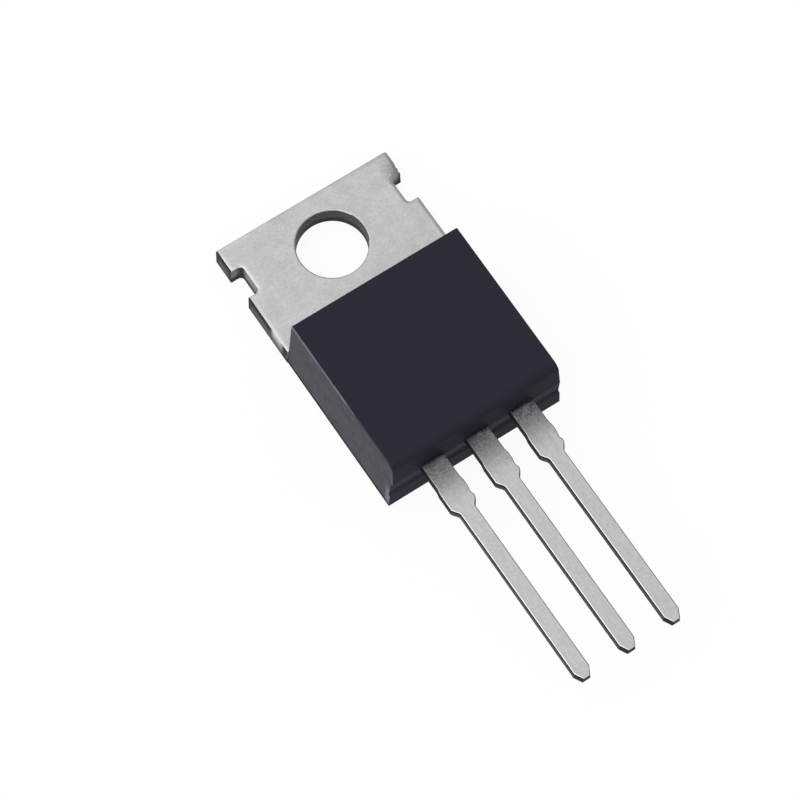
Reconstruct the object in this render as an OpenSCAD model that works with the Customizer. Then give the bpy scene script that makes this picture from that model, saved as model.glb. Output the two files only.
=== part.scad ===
// Three-lead voltage regulator with a bolt-down metal tab.
// Millimetres. The origin is on the axis of the mounting hole, on the flat back face.
// +Y points to the tab's free end, the leads run towards -Y, and +Z is the front.

/* [Package] */
// Width of the tab, and of the moulding at its back
package_w = 9.92; // [9.6:0.02:10.6]

/* [Tab] */
// Thickness of the tab and of the pad inside the moulding
tab_t = 1.27; // [1.15:0.01:1.4]
// Distance from the hole's axis to the tab's free end
tab_end = 2.8; // [2.5:0.05:3.2]
// Diameter of the mounting hole
hole_d = 3.6; // [3.5:0.05:4]
// Bevel that the punch leaves round the hole's rims
hole_bevel = 0.08; // [0.02:0.01:0.15]
// Radius of the tab's two outer corners
tab_corner_r = 0.1; // [0.05:0.05:0.5]
// Distance from the tab's free end to the side notches
notch_set = 1.36; // [0.8:0.01:1.6]
// Length of each side notch along the tab
notch_len = 1.6; // [1:0.05:2]
// Depth of each side notch
notch_depth = 0.61; // [0.3:0.01:0.9]
// Radius in the inner corners of each notch
notch_r = 0.22; // [0.05:0.01:0.25]

/* [Moulding] */
// Distance from the hole's axis to the moulding's tab end
body_start = 3.63; // [3.2:0.01:4]
// Length of the moulding, from its tab end to the edge where the leads come out
body_len = 9.02; // [8.6:0.01:9.4]
// Height of the moulding's front face over the back
body_h = 4.4; // [4.1:0.05:4.8]
// Draft of the moulding's two sides, in degrees
side_draft = 2.7; // [1:0.1:5]
// Draft of the moulding's tab end above the tab, in degrees
top_draft = 2.8; // [1:0.1:7]
// Draft of the lead end above the leads, in degrees
lead_end_draft = 5; // [1:0.5:9]
// Draft of the lead end below the leads, in degrees
foot_draft = 7; // [1:0.5:10]
// Radius of the front edge at the lead end
end_edge_r = 0.45; // [0.2:0.05:0.7]
// How far the foot of the lead end stands proud under its draft
foot_step = 0.11; // [0.05:0.01:0.2]
// Height of the foot's bevel
foot_bevel = 0.12; // [0.05:0.01:0.3]
// Diameter of the two ejector-pin marks on the back
ejector_d = 0.9; // [0.5:0.1:1.2]
// Depth of the ejector-pin marks
ejector_depth = 0.05; // [0.02:0.01:0.1]

/* [Leads] */
// Distance between neighbouring leads
lead_pitch = 2.54; // [2.5:0.01:2.6]
// Thickness of the leads
lead_t = 0.5; // [0.36:0.01:0.6]
// Height of the leads' back surface over the back of the tab
lead_lift = 2.4; // [2.2:0.01:2.7]
// Width of a lead next to the moulding
root_w = 1.26; // [1.15:0.01:1.5]
// Width of a lead past its shoulder
lead_w = 0.82; // [0.6:0.01:0.9]
// Distance from the moulding to the shoulder
root_len = 2.62; // [2.2:0.02:3.6]
// Distance from the moulding to the tip
lead_len = 12.95; // [12:0.05:14]
// Largest radius of the curves in a shoulder
shoulder_r = 0.15; // [0.08:0.01:0.2]
// Slope of a shoulder against the lead, in degrees
shoulder_slope = 58; // [50:1:64]
// Width of the flat at a lead's tip
tip_flat = 0.36; // [0.2:0.02:0.5]
// Length of the two bevels at a lead's tip
tip_bevel = 0.43; // [0.2:0.01:0.6]
// Length of the stub that the sheared tie bar leaves on a lead
stub_len = 1.15; // [0.8:0.05:1.4]
// How far that stub stands out of the lead's edge
stub_out = 0.05; // [0.02:0.01:0.1]
// Distance from that stub to the shoulder
stub_set = 0.05; // [0.02:0.01:0.3]

/* [Frame inside the moulding] */
// Moulding beside the pad's front, measured from the package's width
pad_side = 0.78; // [0.65:0.01:0.95]
// Overhang of the pad's front over its back, which keys the moulding
pad_key = 0.3; // [0.15:0.05:0.4]
// Height at which that overhang starts
pad_key_z = 0.5; // [0.3:0.05:0.6]
// Flat strip between the end of the pad and the bend that lifts the centre lead
lift_set = 0.2; // [0.1:0.05:0.4]
// Moulding between that bend and the lead end
lift_cover = 0.5; // [0.3:0.05:0.8]
// Width of the groove across the pad, which holds moisture back
groove_w = 0.4; // [0.2:0.05:0.6]
// Depth of that groove
groove_depth = 0.2; // [0.1:0.02:0.3]
// Distance from the moulding's tab end to that groove
groove_set = 0.9; // [0.7:0.05:1.2]
// Radius of the half-round anchor notches in the pad's sides
anchor_r = 0.45; // [0.3:0.05:0.6]
// Distance from the moulding's tab end to the anchor notches
anchor_set = 2; // [1.8:0.1:2.4]
// Slope of the bend that lifts the centre lead, in degrees
lift_slope = 62; // [58:1:75]
// Inner radius of that bend
lift_r = 0.16; // [0.1:0.01:0.2]
// Moulding beside a bonding post, measured from the package's width
post_side = 0.82; // [0.7:0.01:1]
// Length of a bonding post
post_len = 1.5; // [1.2:0.05:1.6]
// Moulding between a bonding post and the lead end
post_cover = 0.9; // [0.7:0.05:1]
// Radius of a bonding post's corners
post_r = 0.25; // [0.1:0.05:0.4]
// Diameter of the anchor hole in a bonding post
post_hole_d = 0.6; // [0.4:0.05:0.7]

/* [Chip] */
// Width of the chip
die_w = 2.3; // [1.9:0.05:2.6]
// Length of the chip
die_len = 1.9; // [1.7:0.05:2.2]
// Thickness of the chip
die_t = 0.28; // [0.2:0.01:0.35]
// Thickness of the solder under the chip
solder_t = 0.05; // [0.03:0.01:0.1]
// How far the solder shows round the chip
solder_rim = 0.12; // [0.05:0.01:0.2]
// Distance from the end of the pad to the middle of the chip
die_set = 3; // [2.8:0.1:3.2]

/* [Wires] */
// Diameter of the bonded wires
wire_d = 0.2; // [0.15:0.01:0.22]
// Diameter of the thinner sense wire
sense_d = 0.13; // [0.1:0.01:0.15]
// Slope of a wire as it leaves its two ends, in degrees
loop_slope = 40; // [35:1:45]
// Radius of a wire's bend at its two ends
heel_r = 0.2; // [0.15:0.01:0.25]
// Largest radius of a wire's bend at the top of its loop
loop_r = 0.4; // [0.3:0.05:0.5]
// Length of a wire's flattened foot
foot_len = 0.45; // [0.35:0.05:0.5]
// Distance from the chip to the foot of the ground wire on the pad
ground_set = 1.2; // [1:0.05:1.5]
// Distance from the inner edge of a bonding post to the foot of its wire
foot_set = 0.45; // [0.4:0.05:0.6]
// Distance between the feet of the output wire and the sense wire
sense_gap = 0.5; // [0.4:0.05:0.7]

/* [Hidden] */
$fn = 48;
past = 1;                                   // how far a cutter runs past what it cuts

body_end = body_start + body_len;
lead_mid_z = lead_lift + lead_t / 2;
lead_top_z = lead_lift + lead_t;

// The two curves of a shoulder, with the straight slope that is left between them
shoulder_drop = (root_w - lead_w) / 2;
shoulder_fit_r = min(shoulder_r, shoulder_drop / (2 * (1 - cos(shoulder_slope))));
shoulder_straight = (shoulder_drop - 2 * shoulder_fit_r * (1 - cos(shoulder_slope))) / sin(shoulder_slope);
shoulder_len = 2 * shoulder_fit_r * sin(shoulder_slope) + shoulder_straight * cos(shoulder_slope);

// The bend that lifts the centre lead runs along the middle of the strip
lift_mid_r = lift_r + lead_t / 2;
lift_rise = lead_lift - (tab_t - lead_t);
lift_straight = (lift_rise - 2 * lift_mid_r * (1 - cos(lift_slope))) / sin(lift_slope);
lift_run = 2 * lift_mid_r * sin(lift_slope) + lift_straight * cos(lift_slope);

pad_w = package_w - 2 * pad_side;
pad_end = body_end - lift_cover - lift_run - lift_set;
post_end = body_end - post_cover;
post_start = post_end - post_len;
post_inner_x = lead_pitch - root_w / 2;
post_outer_x = package_w / 2 - post_side;
die_y = -(pad_end - die_set);
die_base_z = tab_t + solder_t;
die_top_z = die_base_z + die_t;

// A rectangle from its lowest corner, with rounded corners
module rounded_rect(w, l, r) {
    translate([r, 0]) square([w - 2 * r, l]);
    translate([0, r]) square([w, l - 2 * r]);
    for (x = [r, w - r], y = [r, l - r]) translate([x, y]) circle(r);
}

// What stands at +X, and its mirror image at -X
module both_sides() {
    children();
    mirror([1, 0, 0]) children();
}

// Flat outline of the tab: full width from its free end to the moulding, with its notches
module tab_outline() {
    tab_len = tab_end + body_start;
    difference() {
        union() {
            translate([-package_w / 2, tab_end - 2 * tab_corner_r - notch_set / 2])
                rounded_rect(package_w, 2 * tab_corner_r + notch_set / 2, tab_corner_r);
            translate([-package_w / 2, -body_start]) square([package_w, tab_len - tab_corner_r]);
        }
        both_sides() translate([package_w / 2 - notch_depth, tab_end - notch_set - notch_len])
            rounded_rect(notch_depth + past, notch_len, notch_r);
    }
}

// Section of the pad, seen along Y: wider at its front, so that the moulding grips it
module pad_section() {
    front = pad_w / 2;
    back = front - pad_key;
    polygon([[-back, 0], [back, 0], [back, pad_key_z], [front, pad_key_z + pad_key],
             [front, tab_t], [-front, tab_t], [-front, pad_key_z + pad_key], [-back, pad_key_z]]);
}

// Points of an arc about the given centre
function arc(centre, r, from, to, steps = 6) = [for (i = [0 : steps])
    let (a = from + (to - from) * i / steps) centre + r * [cos(a), sin(a)]];
function reversed(list) = [for (i = [len(list) - 1 : -1 : 0]) list[i]];
function mirrored(points) = reversed([for (p = points) [-p[0], p[1]]]);

// Right-hand edge of a lead on x = 0, from its tie-bar stub down to its tip
function lead_edge() =
    let (shoulder_y = -(body_end + root_len), neck_y = shoulder_y - shoulder_len,
         stub_y = shoulder_y + stub_set, tip_y = -(body_end + lead_len))
    concat([[root_w / 2, stub_y + stub_len], [root_w / 2 + stub_out, stub_y + stub_len],
            [root_w / 2 + stub_out, stub_y], [root_w / 2, stub_y]],
           arc([root_w / 2 - shoulder_fit_r, shoulder_y], shoulder_fit_r, 0, -shoulder_slope),
           arc([lead_w / 2 + shoulder_fit_r, neck_y], shoulder_fit_r, 180 - shoulder_slope, 180),
           [[lead_w / 2, tip_y + tip_bevel], [tip_flat / 2, tip_y]]);
function lead_edges() = concat(lead_edge(), mirrored(lead_edge()));

// A path is a list of stations, each with x, z and the slope there.
// Stations along a bend that starts at [x, z] with one slope and ends with another
function bend_stations(start, r, slope, end_slope, steps) = [for (i = [0 : steps])
    let (s = slope + (end_slope - slope) * i / steps, turn = end_slope > slope ? 1 : -1)
    [start[0] + turn * r * (sin(s) - sin(slope)), start[1] + turn * r * (cos(slope) - cos(s)), s]];
function ahead(station, len) =
    [station[0] + len * cos(station[2]), station[1] + len * sin(station[2]), station[2]];
function last(list) = list[len(list) - 1];

// Outline of a strip, seen from the side, along the path of its middle
function offset_path(path, side) = [for (s = path) [s[0] - side * sin(s[2]), s[1] + side * cos(s[2])]];
function strip_side(path, thickness) =
    concat(offset_path(path, thickness / 2), reversed(offset_path(path, -thickness / 2)));

// The centre lead: its plan outline, formed along a path that starts inside the pad and lifts
// from the pad's front surface to the plane of the leads
module centre_lead() {
    low_z = tab_t - lead_t / 2;
    strip_y = lift_set - pad_end;
    rise = bend_stations([pad_end + lift_set, low_z], lift_mid_r, 0, lift_slope, 6);
    level = bend_stations(ahead(last(rise), lift_straight), lift_mid_r, lift_slope, 0, 6);
    path = concat([[-strip_y, low_z, 0]], rise, level, [ahead(last(level), lead_len + past)]);
    intersection() {
        rotate([90, 0, -90]) translate([0, 0, -root_w]) linear_extrude(2 * root_w)
            polygon(strip_side(path, lead_t));
        linear_extrude(lead_top_z + past)
            polygon(concat([[root_w / 2, strip_y]], lead_edges(), [[-root_w / 2, strip_y]]));
    }
}

module heat_spreader() color("silver") {
    difference() {
        union() {
            linear_extrude(tab_t) tab_outline();
            translate([0, -body_start, 0]) rotate([90, 0, 0])
                linear_extrude(pad_end - body_start) pad_section();
        }
        translate([0, 0, -past]) cylinder(d = hole_d, h = tab_t + 2 * past);
        translate([0, 0, tab_t - hole_bevel])
            cylinder(d1 = hole_d, d2 = hole_d + 2 * (hole_bevel + past), h = hole_bevel + past);
        translate([0, 0, -past])
            cylinder(d1 = hole_d + 2 * (hole_bevel + past), d2 = hole_d, h = hole_bevel + past);
        translate([-package_w / 2, -(body_start + groove_set), tab_t]) rotate([0, 90, 0])
            linear_extrude(package_w) polygon([[groove_depth, 0], [0, groove_w / 2], [-past, groove_w / 2],
                                           [-past, -groove_w / 2], [0, -groove_w / 2]]);
        both_sides() translate([pad_w / 2, -(body_start + anchor_set), -past])
            cylinder(r = anchor_r, h = tab_t + 2 * past);
    }
    centre_lead();
}

// A side lead as the input lead stands at -X, with its bonding post widened away from the middle
module side_lead() {
    outer_x = lead_pitch - post_outer_x;
    translate([-lead_pitch, 0, lead_lift]) linear_extrude(lead_t) difference() {
        polygon(concat(
            arc([root_w / 2 - post_r, -post_start - post_r], post_r, 90, 0), lead_edges(),
            [[-root_w / 2, -post_end]],
            arc([outer_x + post_r, -post_end + post_r], post_r, 270, 180),
            arc([outer_x + post_r, -post_start - post_r], post_r, 180, 90)));
        translate([outer_x + post_hole_d, -post_end + post_hole_d]) circle(d = post_hole_d);
    }
}

module input_lead() color("silver") side_lead();
module output_lead() color("silver") mirror([1, 0, 0]) side_lead();

module silicon_die() color("slategray")
    translate([-die_w / 2, die_y - die_len / 2, die_base_z]) cube([die_w, die_len, die_t]);

module die_solder() color("gray")
    translate([-die_w / 2 - solder_rim, die_y - die_len / 2 - solder_rim, tab_t])
        cube([die_w + 2 * solder_rim, die_len + 2 * solder_rim, solder_t]);

// A tube swept along a path in the X-Z plane
module tube(d, stations, sides = 10) {
    rings = len(stations);
    points = [for (s = stations, k = [0 : sides - 1])
        [s[0] - d / 2 * sin(s[2]) * cos(360 * k / sides), d / 2 * sin(360 * k / sides),
         s[1] + d / 2 * cos(s[2]) * cos(360 * k / sides)]];
    walls = [for (i = [0 : rings - 2], k = [0 : sides - 1])
        let (next = (k + 1) % sides, ring = i * sides, ahead_ring = ring + sides)
        [ring + k, ring + next, ahead_ring + next, ahead_ring + k]];
    caps = [[for (k = [sides - 1 : -1 : 0]) k], [for (k = [0 : sides - 1]) (rings - 1) * sides + k]];
    polyhedron(points, concat(walls, caps));
}

// A wire with a flattened foot at each end. Its two straights follow from the span and the rise,
// and a short span limits the radius at the top of the loop.
module bond_wire(d, from, to) {
    foot_w = 1.5 * d;
    foot_h = 0.7 * d;
    axis_z = 0.55 * d;
    heading = atan2(to[1] - from[1], to[0] - from[0]);
    span = norm([to[0] - from[0], to[1] - from[1]]) - foot_len;
    rise = to[2] - from[2];
    room = (span - abs(rise) / tan(loop_slope)) / (2 * sin(loop_slope)) - heel_r;
    top_r = min(loop_r, room);
    straights = (span - 2 * (heel_r + top_r) * sin(loop_slope)) / cos(loop_slope);
    up = (straights + rise / sin(loop_slope)) / 2;
    down = (straights - rise / sin(loop_slope)) / 2;
    heel = bend_stations([foot_len / 2, axis_z], heel_r, 0, loop_slope, 2);
    top = bend_stations(ahead(last(heel), up), top_r, loop_slope, -loop_slope, 5);
    toe = bend_stations(ahead(last(top), down), heel_r, -loop_slope, 0, 2);
    module foot() translate([-foot_len / 2, -foot_w / 2, 0]) cube([foot_len, foot_w, foot_h]);
    translate(from) rotate([0, 0, heading]) {
        foot();
        tube(d, concat([[0, axis_z, 0]], heel, top, toe, [ahead(last(toe), foot_len / 2)]));
    }
    translate(to) rotate([0, 0, heading]) foot();
}

wire_x = post_inner_x + foot_set;
post_pad_y = -(post_start + foot_len);
die_edge_x = die_w / 2 - foot_len;
die_end_y = die_y - die_len / 2;
die_edge_y = die_end_y + foot_len;
die_far_y = die_y + die_len / 2 - foot_len;

module input_wire() color("gainsboro")
    bond_wire(wire_d, [-die_edge_x, die_edge_y, die_top_z], [-wire_x, post_pad_y, lead_top_z]);
module output_wire() color("gainsboro")
    bond_wire(wire_d, [die_edge_x, die_edge_y, die_top_z], [wire_x, post_pad_y, lead_top_z]);
module sense_wire() color("gainsboro")
    bond_wire(sense_d, [die_edge_x, die_far_y, die_top_z], [wire_x + sense_gap, post_pad_y, lead_top_z]);
module ground_wire() color("gainsboro")
    bond_wire(wire_d, [0, die_edge_y, die_top_z], [0, die_end_y - ground_set, tab_t]);

// Side view of the moulding, drawn with X along +Y and Y along +Z
module body_side_view() {
    front_start = body_start + (body_h - tab_t) * tan(top_draft);
    front_end = body_end - (body_h - lead_mid_z) * tan(lead_end_draft);
    foot_z = tab_t;
    foot_in = body_end - (lead_mid_z - foot_z) * tan(foot_draft);
    // the rounded edge touches the front face and the drafted end
    turn = 90 - lead_end_draft;
    tangent = end_edge_r * tan(turn / 2);
    arc_y = front_end - tangent;
    slope_y = front_end + tangent * sin(lead_end_draft);
    slope_z = body_h - tangent * cos(lead_end_draft);
    polygon([[-body_start, 0], [-body_start, tab_t], [-front_start, body_h], [-arc_y, body_h],
             [-slope_y, slope_z], [-body_end, lead_mid_z], [-foot_in, foot_z],
             [-(foot_in + foot_step), foot_z - foot_bevel], [-(foot_in + foot_step), 0]]);
    translate([-arc_y, body_h - end_edge_r]) circle(end_edge_r);
}

// End view of the moulding, with drafted sides
module body_end_view() {
    back = package_w / 2;
    front = back - body_h * tan(side_draft);
    polygon([[-back, 0], [back, 0], [front, body_h], [-front, body_h]]);
}

module moulded_body() color("#302e39") difference() {
    intersection() {
        rotate([90, 0, 90]) translate([0, 0, -package_w]) linear_extrude(2 * package_w) body_side_view();
        rotate([90, 0, 0]) linear_extrude(body_end + past) body_end_view();
    }
    heat_spreader();
    input_lead();
    output_lead();
    silicon_die();
    die_solder();
    input_wire();
    output_wire();
    sense_wire();
    ground_wire();
    both_sides() translate([pad_w / 4, -(body_end + pad_end) / 2, -past])
        cylinder(d = ejector_d, h = past + ejector_depth);
}

heat_spreader();
input_lead();
output_lead();
silicon_die();
die_solder();
input_wire();
output_wire();
sense_wire();
ground_wire();
moulded_body();
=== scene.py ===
"""A three-lead voltage regulator with a bolt-down tab, finished and lit for the studio.

The stamped tab with its centre lead, the two side leads and the moulding are modelled here to the
frame's sizes. The chip, its solder and the bonded wires keep the frame's meshes and get a finish.
"""

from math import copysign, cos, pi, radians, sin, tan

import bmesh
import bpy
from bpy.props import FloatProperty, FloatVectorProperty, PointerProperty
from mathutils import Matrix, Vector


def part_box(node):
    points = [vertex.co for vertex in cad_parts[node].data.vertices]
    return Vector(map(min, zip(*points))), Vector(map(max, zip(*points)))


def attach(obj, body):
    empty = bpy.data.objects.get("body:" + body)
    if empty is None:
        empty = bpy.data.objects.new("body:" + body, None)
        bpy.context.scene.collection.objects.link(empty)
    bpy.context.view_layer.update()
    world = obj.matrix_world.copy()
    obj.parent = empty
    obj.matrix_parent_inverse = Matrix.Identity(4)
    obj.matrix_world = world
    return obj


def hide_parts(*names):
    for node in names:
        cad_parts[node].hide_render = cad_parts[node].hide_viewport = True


bl_info = {
    "name": "Three-lead voltage regulator",
    "version": (1, 0, 0),
    "blender": (4, 5, 0),
    "location": "3D View > Sidebar > Regulator",
    "description": "Models and finishes a tabbed three-lead voltage regulator and its stage",
    "category": "Mesh",
}

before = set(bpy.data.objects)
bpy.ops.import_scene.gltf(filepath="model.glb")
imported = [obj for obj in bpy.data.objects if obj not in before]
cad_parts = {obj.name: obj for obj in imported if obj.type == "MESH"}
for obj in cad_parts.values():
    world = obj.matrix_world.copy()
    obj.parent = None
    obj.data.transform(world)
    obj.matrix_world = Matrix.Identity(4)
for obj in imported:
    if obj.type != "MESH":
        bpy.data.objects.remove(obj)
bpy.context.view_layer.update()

MM = 0.001
NEAR = 0.001 * MM
FAR = 1.0

# The frame's own places, from the lowest and highest corners of its nodes
spreader_low, spreader_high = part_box("heat_spreader")
lead_low, lead_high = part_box("input_lead")
body_low, body_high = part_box("moulded_body")
tab_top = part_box("die_solder")[0].z
lead_thickness = lead_high.z - lead_low.z
half_width = spreader_high.x
INNER_NODES = ("silicon_die", "die_solder", "input_wire", "output_wire", "sense_wire", "ground_wire")


def linear(code):
    """Linear colour of an sRGB hex code."""
    shares = [int(code[i:i + 2], 16) / 255 for i in (0, 2, 4)]
    return [s / 12.92 if s <= 0.04045 else ((s + 0.055) / 1.055) ** 2.4 for s in shares]


class RegulatorTab(bpy.types.PropertyGroup):
    """Sizes of the stamped tab, its pad and the bend up to the centre lead"""
    hole_diameter: FloatProperty(
        name="Hole diameter", description="Diameter of the mounting hole",
        default=3.6 * MM, min=0, unit="LENGTH", precision=5)
    hole_bevel: FloatProperty(
        name="Hole bevel", description="Rounding that the punch leaves round the hole's rims",
        default=0.08 * MM, min=0, unit="LENGTH", precision=5)
    corner_radius: FloatProperty(
        name="Corner radius", description="Radius of the tab's two outer corners",
        default=0.1 * MM, min=0, unit="LENGTH", precision=5)
    notch_set: FloatProperty(
        name="Notch distance", description="From the tab's free end to the side notches",
        default=1.36 * MM, min=0, unit="LENGTH", precision=5)
    notch_length: FloatProperty(
        name="Notch length", description="Length of each side notch along the tab",
        default=1.6 * MM, min=0, unit="LENGTH", precision=5)
    notch_depth: FloatProperty(
        name="Notch depth", description="Depth of each side notch",
        default=0.61 * MM, min=0, unit="LENGTH", precision=5)
    burr: FloatProperty(
        name="Tab burr", description="How far the tab's sheared sides lean out at the back",
        default=0.03 * MM, min=0, unit="LENGTH", precision=5)
    notch_radius: FloatProperty(
        name="Notch radius", description="Radius in the inner corners of each notch",
        default=0.22 * MM, min=0, unit="LENGTH", precision=5)
    roll_width: FloatProperty(
        name="Roll-over width", description="How far in the punch rounds the tab's front",
        default=0.26 * MM, min=0, unit="LENGTH", precision=5)
    roll_depth: FloatProperty(
        name="Roll-over depth", description="How far down the punch rounds the tab's front",
        default=0.09 * MM, min=0, unit="LENGTH", precision=5)
    dent_spacing: FloatProperty(
        name="Dent spacing", description="Distance between the pressed spots beside the right notch",
        default=0.13 * MM, min=0, unit="LENGTH", precision=5)
    pad_side: FloatProperty(
        name="Pad side", description="Moulding beside the pad's front",
        default=0.78 * MM, min=0, unit="LENGTH", precision=5)
    pad_key: FloatProperty(
        name="Pad key", description="Overhang of the pad's front over its back",
        default=0.3 * MM, min=0, unit="LENGTH", precision=5)
    pad_key_height: FloatProperty(
        name="Pad key height", description="Height at which that overhang starts",
        default=0.5 * MM, min=0, unit="LENGTH", precision=5)
    groove_width: FloatProperty(
        name="Groove width", description="Width of the groove across the pad",
        default=0.4 * MM, min=0, unit="LENGTH", precision=5)
    groove_depth: FloatProperty(
        name="Groove depth", description="Depth of that groove",
        default=0.2 * MM, min=0, unit="LENGTH", precision=5)
    groove_set: FloatProperty(
        name="Groove distance", description="From the moulding's tab end to that groove",
        default=0.9 * MM, min=0, unit="LENGTH", precision=5)
    anchor_radius: FloatProperty(
        name="Anchor radius", description="Radius of the half-round notches in the pad's sides",
        default=0.45 * MM, min=0, unit="LENGTH", precision=5)
    anchor_set: FloatProperty(
        name="Anchor distance", description="From the moulding's tab end to those notches",
        default=2 * MM, min=0, unit="LENGTH", precision=5)
    lift_set: FloatProperty(
        name="Lift distance", description="Flat strip between the pad and the bend",
        default=0.2 * MM, min=0, unit="LENGTH", precision=5)
    lift_cover: FloatProperty(
        name="Lift cover", description="Moulding between the bend and the lead end",
        default=0.5 * MM, min=0, unit="LENGTH", precision=5)
    lift_radius: FloatProperty(
        name="Lift radius", description="Inner radius of the bend",
        default=0.16 * MM, min=0, unit="LENGTH", precision=5)
    lift_slope: FloatProperty(
        name="Lift slope", description="Slope of the bend",
        default=radians(62), min=0, unit="ROTATION")


class RegulatorLeads(bpy.types.PropertyGroup):
    """Sizes of the leads and of the bonding posts inside the moulding"""
    pitch: FloatProperty(
        name="Pitch", description="Distance between neighbouring leads",
        default=2.54 * MM, min=0, unit="LENGTH", precision=5)
    root_width: FloatProperty(
        name="Root width", description="Width of a lead next to the moulding",
        default=1.26 * MM, min=0, unit="LENGTH", precision=5)
    width: FloatProperty(
        name="Width", description="Width of a lead past its shoulder",
        default=0.82 * MM, min=0, unit="LENGTH", precision=5)
    root_length: FloatProperty(
        name="Root length", description="From the moulding to the shoulder",
        default=2.66 * MM, min=0, unit="LENGTH", precision=5)
    shoulder_radius: FloatProperty(
        name="Shoulder radius", description="Radius of the curves in a shoulder",
        default=0.25 * MM, min=0, unit="LENGTH", precision=5)
    shoulder_slope: FloatProperty(
        name="Shoulder slope", description="Slope of a shoulder against the lead",
        default=radians(38), min=0, unit="ROTATION")
    stub_length: FloatProperty(
        name="Stub length", description="Length of the stub that the sheared tie bar leaves",
        default=1.26 * MM, min=0, unit="LENGTH", precision=5)
    stub_ramp: FloatProperty(
        name="Stub ramp", description="Length over which that stub rises out of the lead's edge",
        default=0.28 * MM, min=0, unit="LENGTH", precision=5)
    stub_out: FloatProperty(
        name="Stub height", description="How far that stub stands out of the lead's edge",
        default=0.05 * MM, min=0, unit="LENGTH", precision=5)
    nub_length: FloatProperty(
        name="Nub length", description="Length of the nub that the shears left at the shoulder",
        default=0.16 * MM, min=0, unit="LENGTH", precision=5)
    tip_flat: FloatProperty(
        name="Tip flat", description="Width of the flat at a lead's tip",
        default=0.36 * MM, min=0, unit="LENGTH", precision=5)
    tip_bevel: FloatProperty(
        name="Tip bevel", description="Length of the two bevels at a lead's tip",
        default=0.43 * MM, min=0, unit="LENGTH", precision=5)
    roll_width: FloatProperty(
        name="Lead roll-over width", description="How far in the punch rounds a lead's front",
        default=0.17 * MM, min=0, unit="LENGTH", precision=5)
    roll_depth: FloatProperty(
        name="Lead roll-over depth", description="How far down the punch rounds a lead's front",
        default=0.06 * MM, min=0, unit="LENGTH", precision=5)
    burr: FloatProperty(
        name="Lead burr", description="How far a lead's sheared edges lean out at the back",
        default=0.04 * MM, min=0, unit="LENGTH", precision=5)
    post_cover: FloatProperty(
        name="Post cover", description="Moulding between a bonding post and the lead end",
        default=0.9 * MM, min=0, unit="LENGTH", precision=5)
    post_side: FloatProperty(
        name="Post side", description="Moulding beside a bonding post",
        default=0.82 * MM, min=0, unit="LENGTH", precision=5)
    post_radius: FloatProperty(
        name="Post radius", description="Radius of a bonding post's corners",
        default=0.25 * MM, min=0, unit="LENGTH", precision=5)
    post_hole: FloatProperty(
        name="Post hole", description="Diameter of the anchor hole in a bonding post",
        default=0.6 * MM, min=0, unit="LENGTH", precision=5)


class RegulatorMoulding(bpy.types.PropertyGroup):
    """Sizes of the moulding"""
    side_draft: FloatProperty(
        name="Side draft", description="Draft of the moulding's two sides",
        default=radians(2.7), min=0, unit="ROTATION")
    tab_end_draft: FloatProperty(
        name="Tab end draft", description="Draft of the moulding's tab end above the tab",
        default=radians(2.8), min=0, unit="ROTATION")
    lead_end_draft: FloatProperty(
        name="Lead end draft", description="Draft of the lead end above the leads",
        default=radians(5), min=0, unit="ROTATION")
    foot_draft: FloatProperty(
        name="Foot draft", description="Draft of the lead end below the leads",
        default=radians(7), min=0, unit="ROTATION")
    foot_bevel: FloatProperty(
        name="Foot bevel", description="Height of the foot's bevel",
        default=0.12 * MM, min=0, unit="LENGTH", precision=5)
    foot_step: FloatProperty(
        name="Foot step", description="How far the foot stands proud under its draft",
        default=0.11 * MM, min=0, unit="LENGTH", precision=5)
    end_radius: FloatProperty(
        name="End radius", description="Radius of the front edge at the lead end",
        default=0.45 * MM, min=0, unit="LENGTH", precision=5)
    edge_radius: FloatProperty(
        name="Edge radius", description="Radius of the moulding's other front edges",
        default=0.06 * MM, min=0, unit="LENGTH", precision=5)
    ejector_diameter: FloatProperty(
        name="Ejector diameter", description="Diameter of the ejector-pin marks on the back",
        default=0.9 * MM, min=0, unit="LENGTH", precision=5)
    ejector_depth: FloatProperty(
        name="Ejector depth", description="Depth of those marks",
        default=0.05 * MM, min=0, unit="LENGTH", precision=5)


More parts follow.
